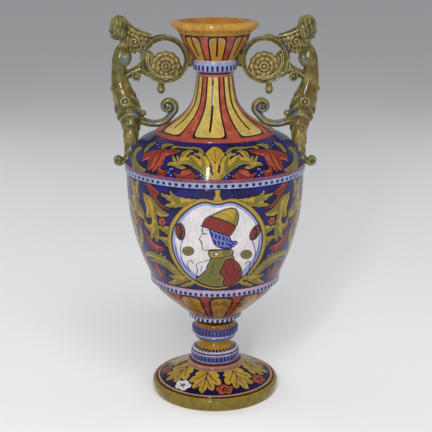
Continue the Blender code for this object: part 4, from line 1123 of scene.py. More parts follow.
HAIR_PARTS = [((-0.0012, 0.0022), (0.99, 1.04, 0.88)), ((-0.0058, -0.0060), (0.66, 1.0, 0.70))]
FACE_PARTS = {
    "face": ((0.0034, -0.0038), (0.70, 0.66, 0.80)),
    "brow": ((0.0106, -0.0010), (0.22, 0.40, 0.20)),
    "nose": ((0.0138, -0.0048), (0.13, 0.11, 0.15)),
    "upper lip": ((0.0119, -0.0092), (0.15, 0.24, 0.045)),
    "lower lip": ((0.0114, -0.0113), (0.14, 0.20, 0.045)),
    "chin": ((0.0096, -0.0152), (0.22, 0.28, 0.14)),
}
FACE_PAIRS = {
    "eyes": ((0.0110, -0.0028), (0.14, 0.17, 0.06), 0.0046),
    "cheeks": ((0.0084, -0.0090), (0.26, 0.28, 0.24), 0.0044),
}


def head_forms(side):
    """Head with bobbed hair and a calm, plain face on the usual thirds. Each part is an oval, placed
    out and up from the head's middle, with its half sizes as shares of the head's."""
    out, up = at(HEAD_PLACES[side])
    forms = [oval((out + x, up + z), HEAD_HALF * share, side, carve=hair_carving)
             for (x, z), share in HAIR_PARTS]
    forms += [oval((out + x, up + z), HEAD_HALF * share, side) for (x, z), share in FACE_PARTS.values()]
    for hand in (-1, 1):
        for (x, z), share, deep in FACE_PAIRS.values():
            forms.append(oval((out + x, up + z), HEAD_HALF * share, side, hand * deep))
    return forms


BOSS_RING = 0.0066
BOSS_TURNS = 28
STUMP_SHARES = np.array([0.57, 0.40, 0.77])
FRUIT_SHARES = np.array([0.30, 0.40, 0.37])


def figure_forms(side):
    """The armless trunk on its leafy pillar, with its stumps, the hip's bosses and the foot's roll."""
    forms = [rolled(table_path(FIGURE_BODY, FIGURE_HALF), side, 8, 44, 0.85, leaf_carving)]
    boss = at((0.9897, 0.5970))
    around = np.linspace(0, 2 * math.pi, BOSS_TURNS)
    circle = np.column_stack([boss[0] + BOSS_RING * np.cos(around), boss[1] + BOSS_RING * np.sin(around)])
    ring = np.column_stack([circle, np.full(BOSS_TURNS, 0.0018), np.full(BOSS_TURNS, 0.0022)])
    for hand in (-1, 1):
        forms.append(oval(at((0.9794, 1.0030)), STUMP_SHARES * FIGURE_HALF, side, hand * FIGURE_HALF * 0.72))
        vertices, quads, fans = rolled(ring, side, 1, 12)
        forms.append((vertices + (0, hand * (FIGURE_HALF + 0.0022), 0), quads, fans))
        forms.append(oval(boss, (0.0060, 0.0045, 0.0060), side, hand * FIGURE_HALF))
        forms.append(oval(boss, (0.0020, 0.0020, 0.0026), side, hand * (FIGURE_HALF + 0.0042)))
    forms.append(oval(at((1.1354, 0.7121)), FRUIT_SHARES * FIGURE_HALF, side))
    volute = at((1.0859, 0.0))
    curl = spiral_path(volute, (0.0066, 0.0016), (215, 690), (0.0044, 0.0020), (0.0104, 0.0092), 40)
    forms.append(oval(volute, (0.0062, 0.0086, 0.0062), side))
    root = np.array([[volute[0] - 0.0140, volute[1] + 0.0035, 0.0062, 0.0105]])
    forms.append(rolled(np.vstack([root, curl]), side, 2, 20))
    return forms


# %% [markdown]
# ### The scrolls
#
# Scrolls, brackets and curls tie the figure to the neck and the shoulder, and carry the load when
# the vessel is lifted. Each is rolled along a path or a spiral like a strip of clay, with its
# grooves as dips in the reach of the section. A curve with a round bevel would give the same run
# but no grooves.

# %% Scrolls
def reeded(share, turn):
    """Two grooves along each face of a scroll."""
    return -0.20 * swell(np.abs(np.sin(turn)), 0.80, 0.10)


def feathered(share, turn):
    """The grooves of a scroll, and waves along it that slant away from its middle."""
    return reeded(share, turn) + 0.11 * np.cos(2 * math.pi * (7 * share + 0.8 * np.abs(np.sin(turn))))


SCROLL_EYE = (0.5237, 0.5333)
BRACKET_EYE = (0.8660, 0.8224)
WEB_EYE = (0.8832, 1.1697)
JOIN_LUMPS = [((0.7148, 0.9848), (1.06, 0.84, 1.88)), ((0.8076, 0.4697), (0.80, 0.69, 0.68))]
COLLAR_JOIN = (0.0410, 0.5675)


def scroll_forms(side):
    """The web at the nape with its lock and small scroll, the bracket, the C-scroll and the buds."""
    half = SCROLL_HALF
    forms = [rolled(table_path(rows, half), side, 8, 24, 1.0, carve)
             for rows, carve in ((SHOULDER_WEB, feathered), (NAPE_LOCK, reeded), (WING_LOCK, feathered),
                                 (RING_BRACKET, reeded), (BRACKET_LEAF, reeded), (RING_BUD, reeded))]
    ring = at(RING_PLACE)
    for reach, turn, width, depth in RING_LEAVES:
        angle = np.radians(np.linspace(*turn, 9))
        bulge = np.sin(np.linspace(0.15, 0.9, 9) * math.pi)
        leaf = np.column_stack([ring[0] + reach * np.cos(angle), ring[1] + reach * np.sin(angle),
                                width * (0.35 + 0.65 * bulge), np.full(9, depth)])
        forms.append(rolled(leaf, side, 6, 24, 1.0, reeded))
    curl = spiral_path(at(SCROLL_EYE), (0.0128, 0.0030), (212, -228), (0.70 * half, 0.34 * half),
                       (half, 0.85 * half), 48)
    stem = smooth_curve(table_path(LOWER_SCROLL_STEM, half), 8)[:-1]
    forms.append(rolled(np.vstack([stem, curl]), side, 1, 24, 1.0, reeded))
    forms.append(oval(at(SCROLL_EYE), (0.0100, 0.62 * half, 0.0100), side))
    forms.append(oval(at(BRACKET_EYE), (0.0070, 0.62 * half, 0.0070), side))
    bracket = spiral_path(at(BRACKET_EYE), (0.98 * half, 0.30 * half), (150, -330),
                          (0.30 * half, 0.26 * half), (0.88 * half, 0.75 * half), 40)
    forms.append(rolled(bracket, side, 1, 18))
    web = at(WEB_EYE)
    swirl = spiral_path(web, (0.0088, 0.0016), (100, 640), (0.0019, 0.0014), (0.0030, 0.0026), 44)
    for hand in (-1, 1):
        vertices, quads, fans = rolled(swirl, side, 1, 12)
        forms.append((vertices + (0, hand * half * 1.02, 0), quads, fans))
    forms.append(oval(web, (0.0080, half * 1.10, 0.0080), side))
    for place, shares in JOIN_LUMPS:
        forms.append(oval(at(place), np.array(shares) * half, side))
    forms.append(oval(COLLAR_JOIN, (0.0085, 0.80 * half, 1.75 * half), side))
    return forms


# %% [markdown]
# ### Fusing and marking
#
# Clay parts are luted together and wiped, so no seam is left, and a voxel remesh does the same.
# The glaze then needs to know where it would pool, where painted shade goes and where a painted
# highlight goes. That is measured once on the mesh, from how the neighbours of each point stand,
# and kept as a number that the material can read.

# %% Both handles
VOXEL = 0.0009
handles = []
for side, name in ((-1, "handle_left"), (1, "handle_right")):
    forms = [ring_form(side), rosette_form(side), *figure_forms(side), *head_forms(side)]
    handles.append(fused(name, forms + scroll_forms(side), VOXEL))


# %% Hollows and patches of the handles
SPREADS = 3


def cavity(piece):
    """How far the neighbours of each point stand out of its surface, in voxels: the mean of their
    offsets along its normal, smoothed a few times. It is above nought in hollows."""
    mesh = piece.data
    count = len(mesh.vertices)
    places = np.empty(count * 3, np.float32)
    normals = np.empty(count * 3, np.float32)
    mesh.vertices.foreach_get("co", places)
    mesh.vertices.foreach_get("normal", normals)
    edges = np.empty(len(mesh.edges) * 2, np.int32)
    mesh.edges.foreach_get("vertices", edges)
    places, normals, edges = places.reshape(-1, 3), normals.reshape(-1, 3), edges.reshape(-1, 2)
    apart = places[edges[:, 1]] - places[edges[:, 0]]
    rise_a = (apart * normals[edges[:, 0]]).sum(axis=1)
    rise_b = (-apart * normals[edges[:, 1]]).sum(axis=1)
    total = np.bincount(edges[:, 0], rise_a, count) + np.bincount(edges[:, 1], rise_b, count)
    links = np.bincount(edges.ravel(), minlength=count)
    value = total / links
    for _ in range(SPREADS):
        spread = np.bincount(edges[:, 0], value[edges[:, 1]], count)
        spread = spread + np.bincount(edges[:, 1], value[edges[:, 0]], count)
        value = 0.5 * value + 0.5 * spread / links
    return value / VOXEL, places


# Straw patches: lighter glaze on the rosette and the lower pillar, and a painted highlight on the wing.
WARM_AND_HIGHLIGHT_PLACES = [(0.0787, 0.5547, 0.036), (0.1285, 0.5945, 0.022), (0.138, 0.440, 0.014)]
BLUE_PLACES = [(0.1425, 0.567, 0.012), (0.128, 0.425, 0.016), (0.078, 0.482, 0.024), (0.100, 0.462, 0.020),
               (0.047, 0.585, 0.010), (0.112, 0.585, 0.010), (0.128, 0.480, 0.012), (0.150, 0.500, 0.006)]
for piece in handles:
    hollow, places = cavity(piece)
    out, up = np.abs(places[:, 0]), places[:, 2]
    keep_numbers(piece, "hollow", hollow)
    for label, spots in (("blue_patch", BLUE_PLACES), ("warm_patch_and_highlight", WARM_AND_HIGHLIGHT_PLACES)):
        near = np.zeros(len(out))
        for place_out, place_up, reach in spots:
            near = np.maximum(near, 1 - np.hypot(out - place_out, up - place_up) / reach)
        keep_numbers(piece, label, near)
    print(piece.name, "hollow from", round(float(hollow.min()), 3), "to", round(float(hollow.max()), 3))


# %% [markdown]
# ## Glazes
#
# Tin-glazed ware is painted in few colours: cobalt blue, ochre, a green from copper, brick red,
# and the white of the glaze. Each is thin where the brush has run dry and dark where it pools,
# under one glossy coat. Small node groups hold what all the glazes share, and each material
# joins them with its own values.

# %% Node helpers
def linear(r, g, b):
    """A colour given in the usual 0 to 255 steps, as light."""
    share = np.array([r, g, b]) / 255
    return (*np.where(share <= 0.04045, share / 12.92, ((share + 0.055) / 1.055) ** 2.4), 1.0)


class Nodes:
    """A short way to add nodes to one tree and to link them."""

    def __init__(self, tree):
        self.tree = tree

    def add(self, kind, **settings):
        """A new node with its settings."""
        node = self.tree.nodes.new(kind)
        for name, value in settings.items():
            setattr(node, name, value)
        return node

    def feed(self, socket, value):
        """Link a socket to the input, or set the input to a plain value."""
        if isinstance(value, bpy.types.NodeSocket):
            self.tree.links.new(value, socket)
        else:
            socket.default_value = value

    def math(self, operation, a, b=0.0, c=0.0):
        """One step of arithmetic on each point of the surface."""
        node = self.add("ShaderNodeMath", operation=operation)
        for socket, value in zip(node.inputs, (a, b, c)):
            self.feed(socket, value)
        return node.outputs[0]

    def plus(self, a, b):
        """a and b together."""
        return self.math("ADD", a, b)

    def minus(self, a, b):
        """b taken from a."""
        return self.math("SUBTRACT", a, b)

    def times(self, a, b):
        """a times b."""
        return self.math("MULTIPLY", a, b)

    def over(self, a, b):
        """a divided by b."""
        return self.math("DIVIDE", a, b)

    def ramp(self, value, low, high):
        """Nought below low, one above high, and a soft step between them."""
        node = self.add("ShaderNodeMapRange", interpolation_type="SMOOTHSTEP")
        self.feed(node.inputs["Value"], value)
        node.inputs["From Min"].default_value = low
        node.inputs["From Max"].default_value = high
        return node.outputs["Result"]

    def mix(self, share, a, b):
        """The colour a where share is 0 and b where it is 1."""
        node = self.add("ShaderNodeMix", data_type="RGBA")
        self.feed(node.inputs["Factor"], share)
        self.feed(node.inputs["A"], a)
        self.feed(node.inputs["B"], b)
        return node.outputs["Result"]

    def number(self, name):
        """A number that the mesh keeps for each point."""
        return self.add("ShaderNodeAttribute", attribute_name=name).outputs["Fac"]

    def noise(self, scale, detail=3.0, stretch=None):
        """Soft noise around a half, in the object's own place, so many waves to a metre."""
        place = self.add("ShaderNodeTexCoord").outputs["Object"]
        if stretch is not None:
            mapping = self.add("ShaderNodeMapping")
            self.feed(mapping.inputs["Vector"], place)
            mapping.inputs["Scale"].default_value = stretch
            place = mapping.outputs["Vector"]
        node = self.add("ShaderNodeTexNoise")
        self.feed(node.inputs["Vector"], place)
        node.inputs["Scale"].default_value = scale
        node.inputs["Detail"].default_value = detail
        return node.outputs["Fac"]

    def round_place(self):
        """Angle round the axis in turns, distance from the axis and height of each point."""
        parts = self.add("ShaderNodeSeparateXYZ")
        self.feed(parts.inputs[0], self.add("ShaderNodeTexCoord").outputs["Object"])
        x, y, z = parts.outputs
        turn = self.over(self.math("ARCTAN2", x, self.times(y, -1.0)), 2 * math.pi)
        radius = self.math("SQRT", self.plus(self.times(x, x), self.times(y, y)))
        return turn, radius, z


def new_group(name, inputs, outputs):
    """An empty node group with named inputs at their starting values, and named outputs. A socket
    is a colour where it is called so, and else a number."""
    tree = bpy.data.node_groups.new(name, "ShaderNodeTree")
    kinds = {True: "NodeSocketColor", False: "NodeSocketFloat"}
    for label, value in inputs.items():
        kind = kinds[label == "Colour"]
        tree.interface.new_socket(label, in_out="INPUT", socket_type=kind).default_value = value
    for label in outputs:
        tree.interface.new_socket(label, in_out="OUTPUT", socket_type=kinds[label == "Colour"])
    nodes = Nodes(tree)
    return nodes, nodes.add("NodeGroupInput").outputs, nodes.add("NodeGroupOutput").inputs


def use(nodes, group, **values):
    """Place a group and give its inputs; underscores in the names stand for blanks."""
    node = nodes.add("ShaderNodeGroup", node_tree=bpy.data.node_groups[group])
    for name, value in values.items():
        nodes.feed(node.inputs[name.replace("_", " ")], value)
    return node.outputs


# %% [markdown]
# ### Effects that the glazes share
#
# Streaks of the brush, a dark line at the edge of a shape, rows of ticks, plain bands and rows of
# tongues come back on every ring of the vessel. Each is worked out once in a node group, from the
# angle and the height of a point. A picture could hold them too, but would blur close up.

# %% Shared effect: brushwork
g, take, give = new_group("Brushwork", {"Colour": (1, 1, 1, 1), "Strength": 0.3}, ["Colour"])
streak = g.ramp(g.noise(220.0, 2.0, (1.0, 1.0, 0.35)), 0.36, 0.66)
cloud = g.ramp(g.noise(42.0, 3.0), 0.34, 0.68)
both = g.times(g.minus(g.plus(streak, cloud), 1.0), take["Strength"])
vary = g.add("ShaderNodeHueSaturation")
g.feed(vary.inputs["Value"], g.plus(both, 1.0))
g.feed(vary.inputs["Color"], take["Colour"])
g.feed(give["Colour"], vary.outputs["Color"])

# %% Shared effect: the dark line and light rim at the edge of a painted shape
SHARP = 0.15
g, take, give = new_group("Painted edge", {"Distance": 0.0, "Line": 0.6}, ["Fill", "Line", "Rim"])
g.feed(give["Fill"], g.ramp(take["Distance"], -SHARP, SHARP))
away = g.over(g.math("ABSOLUTE", take["Distance"]), take["Line"])
g.feed(give["Line"], g.minus(1.0, g.ramp(away, 0.6, 1.5)))
rim_end = g.ramp(take["Distance"], 1.2, 2.6)
g.feed(give["Rim"], g.times(g.ramp(take["Distance"], 0.5, 1.0), g.minus(1.0, rim_end)))

# %% Shared effect: a row of ticks or dots round the vessel
g, take, give = new_group("Tick row", {"Turn": 0.0, "Height": 0.0, "Count": 30.0, "Middle": 0.0,
                                       "Half height": 0.004, "Share": 0.2}, ["Mask"])
place = g.minus(g.math("FRACT", g.times(take["Turn"], take["Count"])), 0.5)
sideways = g.over(g.math("ABSOLUTE", place), take["Share"])
upward = g.over(g.math("ABSOLUTE", g.minus(take["Height"], take["Middle"])), take["Half height"])
oval_reach = g.plus(g.math("POWER", sideways, 3.0), g.math("POWER", upward, 3.0))
g.feed(give["Mask"], g.minus(1.0, g.ramp(oval_reach, 0.6, 1.4)))

# %% Shared effect: a plain band between two heights
BAND_EDGE = 0.0002
g, take, give = new_group("Height band", {"Height": 0.0, "Foot": 0.0, "Top": 0.0}, ["Mask"])
above = g.minus(take["Height"], take["Foot"])
below = g.minus(take["Top"], take["Height"])
g.feed(give["Mask"], g.ramp(g.math("MINIMUM", above, below), -BAND_EDGE, BAND_EDGE))

# %% Shared effect: a row of rounded tongues with a slit down the middle of each
g, take, give = new_group("Tongues", {"Turn": 0.0, "Radius": 0.0, "Height": 0.0, "Count": 9.0, "Start": 0.0,
                                      "Gap": 0.0, "Foot": 0.0, "Top": 1.0, "Corner": 0.006,
                                      "Slit foot": 0.0, "Slit width": 0.001}, ["Distance", "Slit"])
turns = g.minus(g.times(take["Turn"], take["Count"]), take["Start"])
off = g.minus(g.math("FRACT", g.plus(turns, 0.5)), 0.5)
pitch = g.over(g.times(take["Radius"], 2 * math.pi), take["Count"])
sideways = g.math("ABSOLUTE", g.times(off, pitch))
room = g.minus(g.times(pitch, g.minus(0.5, take["Gap"])), sideways)
bottom = g.minus(take["Height"], take["Foot"])
top = g.minus(take["Top"], take["Height"])
ends = g.math("SMOOTH_MIN", bottom, top, take["Corner"])
inside = g.math("SMOOTH_MIN", room, ends, take["Corner"])
g.feed(give["Distance"], g.times(inside, MM_PER_METRE))
slit_side = g.minus(take["Slit width"], sideways)
slit_end = g.times(g.minus(take["Height"], take["Slit foot"]), 0.3)
slit = g.math("SMOOTH_MIN", slit_side, slit_end, 0.0006)
g.feed(give["Slit"], g.ramp(g.times(slit, MM_PER_METRE), -SHARP, SHARP))
print("node groups:", [group.name for group in bpy.data.node_groups])

# %% Paints
OCHRE = linear(164, 132, 44)
OCHRE_EDGE = linear(104, 84, 26)
OCHRE_RIM = linear(194, 170, 92)
OCHRE_DEEP = linear(150, 112, 38)
GREEN = linear(86, 90, 42)
BRICK = linear(118, 37, 27)
BRICK_EDGE = linear(84, 24, 22)
BRICK_LIGHT = linear(162, 78, 52)
BRICK_RIM = linear(168, 88, 66)
GROUND_BLUE = linear(30, 22, 104)
NIGHT = linear(17, 11, 58)
WHITE = linear(204, 196, 196)
LAVENDER = linear(140, 146, 184)
HAIR_BLUE = linear(38, 42, 128)
TICK_BLUE = linear(16, 14, 58)
DARK = linear(16, 9, 12)

# %% The glaze that all share
BODY_SPECULAR = 0.12
COAT_ROUGHNESS = 0.05
COAT_IOR = 1.42
BUMP_DEPTH = 0.001


def glaze(name, bump=0.12, coat=0.5):
    """A material with the glossy coat that all the glazes share; gives its nodes and its shader."""
    material = bpy.data.materials.new(name)
    material.use_nodes = True
    nodes = Nodes(material.node_tree)
    shader = material.node_tree.nodes["Principled BSDF"]
    shader.inputs["Coat Weight"].default_value = coat
    shader.inputs["Specular IOR Level"].default_value = BODY_SPECULAR
    shader.inputs["Coat Roughness"].default_value = COAT_ROUGHNESS
    shader.inputs["Coat IOR"].default_value = COAT_IOR
    rough = nodes.math("MULTIPLY_ADD", nodes.ramp(nodes.noise(60.0), 0.3, 0.7), 0.10, 0.22)
    nodes.feed(shader.inputs["Roughness"], rough)
    wave = nodes.add("ShaderNodeBump")
    wave.inputs["Strength"].default_value = bump
    wave.inputs["Distance"].default_value = BUMP_DEPTH
    nodes.feed(wave.inputs["Height"], nodes.noise(140.0, 2.0))
    nodes.feed(shader.inputs["Normal"], wave.outputs["Normal"])
    return material, nodes, shader


def fire(pieces, material, nodes, shader, colour, brushwork):
    """Feed the colour, varied by the strokes of the brush, to the shader, and glaze the pieces."""
    varied = use(nodes, "Brushwork", Colour=colour, Strength=brushwork)["Colour"]
    nodes.feed(shader.inputs["Base Color"], varied)
    for piece in pieces:
        piece.data.materials.append(material)
    print(material.name, len(nodes.tree.nodes), "nodes")


def bands(nodes, colour, height, rows):
    """Lay plain painted bands over a colour; each row is a foot, a top and a paint."""
    for foot_z, top_z, paint in rows:
        mask = use(nodes, "Height band", Height=height, Foot=foot_z, Top=top_z)["Mask"]
        colour = nodes.mix(mask, colour, paint)
    return colour


def tick_rows(nodes, colour, turn, height, rows):
    """Lay rows of dark blue ticks over a colour; each row is a count, the height of its middle, half
    a tick's height and half a tick's share of the spacing."""
    for count, middle, half_height, share in rows:
        ticks = use(nodes, "Tick row", Turn=turn, Height=height, Count=count, Middle=middle,
                    Half_height=half_height, Share=share)
        colour = nodes.mix(ticks["Mask"], colour, TICK_BLUE)
    return colour


# %% [markdown]
# ### Brush colours
#
# A leaf's ochre is thin and dark at its edge, turns to green across its rib, and has a light rim
# inside a dark outline. The brick red is built the same way. The material reads the distances
# that the canvas kept, so the edges stay crisp at any size, which a picture of few pixels
# wouldn't give.

# %% Brush colours
RIB_WANDER = 3.0
OUTLINE = 1.15


def leaf_paint(nodes):
    """Ochre that is lighter in the middle and turns to green across the rib, with a fine rib line."""
    rib = nodes.number("rib")
    tone = nodes.mix(nodes.ramp(nodes.number("leaf"), 0.6, 3.2), OCHRE_EDGE, OCHRE)
    shade = nodes.plus(rib, nodes.times(nodes.noise(55.0), RIB_WANDER))
    tone = nodes.mix(nodes.times(nodes.ramp(shade, 1.5, 3.8), 0.85), tone, GREEN)
    line = nodes.minus(1.0, nodes.ramp(nodes.math("ABSOLUTE", rib), 0.25, 0.8))
    return nodes.mix(nodes.times(line, 0.75), tone, DARK)


def brick_paint(nodes):
    """Brick red with a dark edge, a lighter orange side and a fine dark rib."""
    rib = nodes.number("rib")
    tone = nodes.mix(nodes.ramp(nodes.number("red"), 0.6, 3.4), BRICK_EDGE, BRICK)
    shade = nodes.plus(rib, nodes.times(nodes.noise(55.0), RIB_WANDER))
    tone = nodes.mix(nodes.times(nodes.ramp(shade, 2.2, 5.0), 0.8), tone, BRICK_LIGHT)
    line = nodes.minus(1.0, nodes.ramp(nodes.math("ABSOLUTE", rib), 0.3, 0.9))
    return nodes.mix(nodes.times(line, 0.7), tone, BRICK_EDGE)


def painted_ground(nodes, blue=GROUND_BLUE):
    """The free painting of one canvas: blue ground, then each colour, with a light rim and a dark
    outline on the reds and the leaves, and the fine lines last."""
    colour = nodes.mix(nodes.ramp(nodes.noise(48.0, 4.0), 0.38, 0.64), NIGHT, blue)
    for name, paint in {"blue": HAIR_BLUE, "sky": LAVENDER, "pale": WHITE}.items():
        edge = use(nodes, "Painted edge", Distance=nodes.number(name), Line=OUTLINE)
        colour = nodes.mix(edge["Fill"], colour, paint)
    lines = []
    for name, paint, rim in [("red", brick_paint(nodes), BRICK_RIM), ("leaf", leaf_paint(nodes), OCHRE_RIM)]:
        edge = use(nodes, "Painted edge", Distance=nodes.number(name), Line=OUTLINE)
        colour = nodes.mix(edge["Fill"], colour, nodes.mix(nodes.times(edge["Rim"], 0.6), paint, rim))
        lines.append(edge["Line"])
    for line in lines:
        colour = nodes.mix(nodes.times(line, 0.85), colour, DARK)
    return nodes.mix(nodes.ramp(nodes.number("ink"), -0.15, 0.25), colour, TICK_BLUE)


# %% [markdown]
# ### The glaze of each ring
#
# Mouth, neck and bowl carry rows of tongues, and the narrow rolls between them plain bands and
# ticks. All of them repeat round the vessel, so the material works them out from the angle and
# the height of each point, and no picture is needed.

# %% Mouth and neck glaze
GOLD = linear(184, 158, 84)
CUP_OCHRE = linear(168, 122, 48)
TONGUE_RIM = linear(208, 184, 112)
CORAL = linear(142, 60, 46)
CORAL_LIGHT = linear(164, 82, 62)
# Inside the mouth: ochre glaze near the lip, and a dark brown deeper down that is painted shade.
INNER_SHADED_BROWN = linear(70, 46, 22)
INNER_OCHRE = linear(150, 100, 42)
NECK_BANDS = [
    (0.6062, 0.6080, DARK), (0.6078, 0.70, linear(168, 124, 50)), (0.5645, 0.5668, linear(196, 176, 170)),
    (0.5480, 0.5650, LAVENDER), (0.5445, 0.5482, linear(72, 22, 52)), (0.5408, 0.5450, linear(148, 84, 86)),
    (0.30, 0.4527, linear(148, 66, 52)),
]

material, nodes, shader = glaze("painted_neck")
turn, radius, height = nodes.round_place()
neck_tongue = use(nodes, "Tongues", Turn=turn, Radius=radius, Height=height, Count=7.0, Start=-0.117,
                  Gap=0.150, Foot=0.4530, Top=0.70, Corner=0.013, Slit_foot=0.4610, Slit_width=0.0017)
cup_tongue = use(nodes, "Tongues", Turn=turn, Radius=radius, Height=height, Count=8.0, Start=0.089,
                 Gap=0.165, Foot=0.30, Top=0.6062, Corner=0.013, Slit_foot=0.5740, Slit_width=0.0015)
on_cup = use(nodes, "Height band", Height=height, Foot=0.5668, Top=0.70)["Mask"]
coral = nodes.mix(nodes.ramp(nodes.noise(60.0, 3.0), 0.35, 0.65), CORAL, CORAL_LIGHT)
zones = []
for tongue, paint in ((neck_tongue, GOLD), (cup_tongue, CUP_OCHRE)):
    edge = use(nodes, "Painted edge", Distance=tongue["Distance"], Line=1.35)
    fill = nodes.mix(nodes.times(edge["Rim"], 0.6), paint, TONGUE_RIM)
    zone = nodes.mix(edge["Line"], nodes.mix(edge["Fill"], coral, fill), DARK)
    zones.append(nodes.mix(tongue["Slit"], zone, DARK))
colour = bands(nodes, nodes.mix(on_cup, *zones), height, NECK_BANDS)
colour = tick_rows(nodes, colour, turn, height, [(28.0, 0.5545, 0.0046, 0.25)])
# The inside is plain ochre glaze with painted shade: it turns dark brown deeper down in the mouth.
inner_glaze_and_shade = nodes.mix(nodes.ramp(height, 0.560, 0.622), INNER_SHADED_BROWN, INNER_OCHRE)
colour = nodes.mix(nodes.ramp(nodes.number("inner_wall"), 0.3, 0.7), colour, inner_glaze_and_shade)
fire([mouth_and_neck], material, nodes, shader, colour, 0.22)

# %% Shoulder glaze
SHOULDER_BANDS = [(0.3962, 0.4012, linear(122, 70, 80)), (0.30, 0.3960, LAVENDER)]

material, nodes, shader = glaze("painted_shoulder")
turn, radius, height = nodes.round_place()
colour = bands(nodes, painted_ground(nodes), height, SHOULDER_BANDS)
colour = tick_rows(nodes, colour, turn, height, [(84.0, 0.3914, 0.0025, 0.24)])
fire([shoulder], material, nodes, shader, colour, 0.25)

# %% Belly glaze
BELLY_BANDS = [(0.2072, 0.2112, linear(168, 136, 150)), (0.10, 0.2074, LAVENDER)]

material, nodes, shader = glaze("painted_belly", coat=0.4)
turn, radius, height = nodes.round_place()
colour = bands(nodes, painted_ground(nodes), height, BELLY_BANDS)
colour = tick_rows(nodes, colour, turn, height, [(77.0, 0.2038, 0.0026, 0.27)])
fire([belly], material, nodes, shader, colour, 0.14)

# %% Foot glaze
BOWL_BROWN = linear(112, 74, 20)
BOWL_OCHRE = linear(158, 112, 34)
BOWL_RIM = linear(184, 150, 72)
BOWL_RED = linear(134, 46, 32)
SLOPE_BLUE = linear(20, 14, 70)
RIM_GOLD = linear(172, 138, 84)
FOOT_BANDS = [
    (0.1305, 0.1392, linear(174, 172, 196)), (0.1225, 0.1305, linear(74, 26, 30)),
    (0.1168, 0.1228, OCHRE_DEEP), (0.1150, 0.1170, linear(142, 104, 122)),
    (0.1035, 0.1152, linear(78, 78, 136)), (0.1004, 0.1037, linear(176, 174, 190)),
    (0.0935, 0.1006, linear(84, 90, 132)), (0.0775, 0.0938, OCHRE_DEEP),
    (0.0738, 0.0768, linear(176, 172, 190)), (0.0712, 0.0740, linear(92, 54, 92)),
    (0.0690, 0.0714, linear(170, 166, 186)), (0.0592, 0.0692, linear(76, 86, 146)),
    (0.0574, 0.0594, linear(172, 172, 196)), (0.0540, 0.0576, linear(82, 28, 34)),
    (0.0458, 0.0542, linear(150, 110, 88)),
]
FOOT_TICKS = [
    (33.0, 0.1348, 0.0030, 0.26), (40.0, 0.1092, 0.0036, 0.26), (38.0, 0.0642, 0.0034, 0.27),
    (34.0, 0.0778, 0.0019, 0.24), (40.0, 0.1195, 0.0014, 0.16),
]
RIM_RINGS = [
    (0.0982, 0.0986, linear(72, 42, 18)), (0.1022, 0.1026, linear(168, 132, 72)),
    (0.1040, 0.1044, linear(118, 102, 36)),
]

material, nodes, shader = glaze("painted_foot", coat=0.4)
turn, radius, height = nodes.round_place()
bowl_tongue = use(nodes, "Tongues", Turn=turn, Radius=radius, Height=height, Count=12.0, Start=0.2,
                  Gap=0.138, Foot=0.10, Top=0.1965, Corner=0.018, Slit_foot=1.0, Slit_width=0.0010)
edge = use(nodes, "Painted edge", Distance=bowl_tongue["Distance"], Line=1.7)
bowl_ochre = nodes.mix(nodes.ramp(nodes.noise(46.0, 3.0), 0.36, 0.62), BOWL_BROWN, BOWL_OCHRE)
fill = nodes.mix(edge["Rim"], bowl_ochre, BOWL_RIM)
bowl_zone = nodes.mix(edge["Line"], nodes.mix(edge["Fill"], BOWL_RED, fill), DARK)
on_bowl = use(nodes, "Height band", Height=height, Foot=0.1392, Top=0.30)["Mask"]
colour = nodes.mix(on_bowl, painted_ground(nodes, SLOPE_BLUE), bowl_zone)
colour = bands(nodes, colour, height, FOOT_BANDS)
colour = tick_rows(nodes, colour, turn, height, FOOT_TICKS)
rim_colour = RIM_GOLD
for start, full, paint in RIM_RINGS:
    rim_colour = nodes.mix(nodes.ramp(radius, start, full), rim_colour, paint)
on_rim = nodes.ramp(radius, 0.0952, 0.0956)
low_down = use(nodes, "Height band", Height=height, Foot=-0.01, Top=0.0260)["Mask"]
colour = nodes.mix(nodes.times(on_rim, low_down), colour, rim_colour)
fire([foot], material, nodes, shader, colour, 0.25)

# %% [markdown]
# ### The glaze of the handles
#
# The coloured glazes of the handles ran into each other in the kiln: olive over all, brown and
# slate blue in patches. The ridges are pale, partly from thin glaze and partly as a painted
# highlight, and the carving is dark, partly from pooled glaze and partly as painted shade. The
# mesh keeps how hollow each point lies, which stays the same from every side.

# %% Handle glaze
OLIVE = linear(76, 72, 33)
OLIVE_LIGHT = linear(113, 107, 56)
UMBER = linear(110, 74, 34)
SLATE = linear(82, 98, 112)
STRAW = linear(150, 130, 74)
# The next two colours: pooled glaze and painted shade in the hollows, and thin glaze and a painted highlight
# on the ridges.
POOLED_GLAZE_AND_SHADE = linear(22, 22, 10)
THIN_GLAZE_AND_HIGHLIGHT = linear(174, 158, 108)

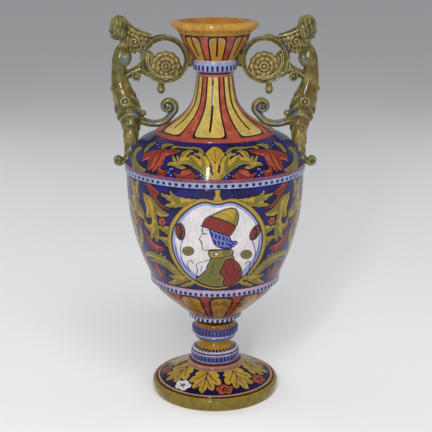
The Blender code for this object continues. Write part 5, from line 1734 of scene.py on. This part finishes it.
material, nodes, shader = glaze("mottled_handle", 0.25, 0.7)
hollow = nodes.number("hollow")
colour = nodes.mix(nodes.ramp(nodes.noise(70.0, 4.0), 0.40, 0.62), OLIVE, OLIVE_LIGHT)
ochre_share = nodes.times(nodes.ramp(nodes.noise(34.0, 3.0), 0.50, 0.66), 0.55)
colour = nodes.mix(ochre_share, colour, UMBER)
blue_share = nodes.plus(nodes.number("blue_patch"), nodes.times(nodes.noise(50.0), 0.9))
colour = nodes.mix(nodes.times(nodes.ramp(blue_share, 0.62, 1.05), 0.6), colour, SLATE)
# Straw in patches: lighter glaze on the rosette and the lower pillar, and a painted highlight on the wing.
warm_and_highlight_share = nodes.plus(nodes.number("warm_patch_and_highlight"), nodes.times(nodes.noise(64.0), 0.5))
colour = nodes.mix(nodes.times(nodes.ramp(warm_and_highlight_share, 0.35, 0.85), 0.5), colour, STRAW)
# Dark in the hollows: partly pooled glaze, partly painted shade.
colour = nodes.mix(nodes.times(nodes.ramp(hollow, 0.0, 0.11), 0.9), colour, POOLED_GLAZE_AND_SHADE)
# Pale on the ridges: partly thin glaze, partly a painted highlight.
ridge_and_highlight = nodes.ramp(nodes.times(hollow, -1.0), 0.02, 0.13)
colour = nodes.mix(nodes.times(ridge_and_highlight, 0.75), colour, THIN_GLAZE_AND_HIGHLIGHT)
fire(handles, material, nodes, shader, colour, 0.35)

# %% [markdown]
# ## Floor and finish
#
# The floor is one wide plain sheet, pale as in a studio. It is staged, so it isn't part of the
# object. Each piece then rides on the body and stands for the solid that it dresses.

# %% Floor
FLOOR_HALF = 12.0
FLOOR_ROUGHNESS = 0.6
floor_mesh = bpy.data.meshes.new("floor")
corners = [(-FLOOR_HALF, -FLOOR_HALF, 0), (FLOOR_HALF, -FLOOR_HALF, 0), (FLOOR_HALF, FLOOR_HALF, 0),
           (-FLOOR_HALF, FLOOR_HALF, 0)]
floor_mesh.from_pydata(corners, [], [(0, 1, 2, 3)])
floor = put("floor", floor_mesh)
floor_material = bpy.data.materials.new("pale_floor")
floor_material.use_nodes = True
floor_shader = floor_material.node_tree.nodes["Principled BSDF"]
floor_shader.inputs["Base Color"].default_value = linear(244, 244, 245)
floor_shader.inputs["Roughness"].default_value = FLOOR_ROUGHNESS
floor_mesh.materials.append(floor_material)

# %% Join the pieces to the frame and finish
for piece in (mouth_and_neck, shoulder, belly, foot, *handles):
    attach(piece, "root")
    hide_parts({belly: "amphora_belly", foot: "amphora_foot"}.get(piece, "amphora_top"))
bpy.context.view_layer.update()
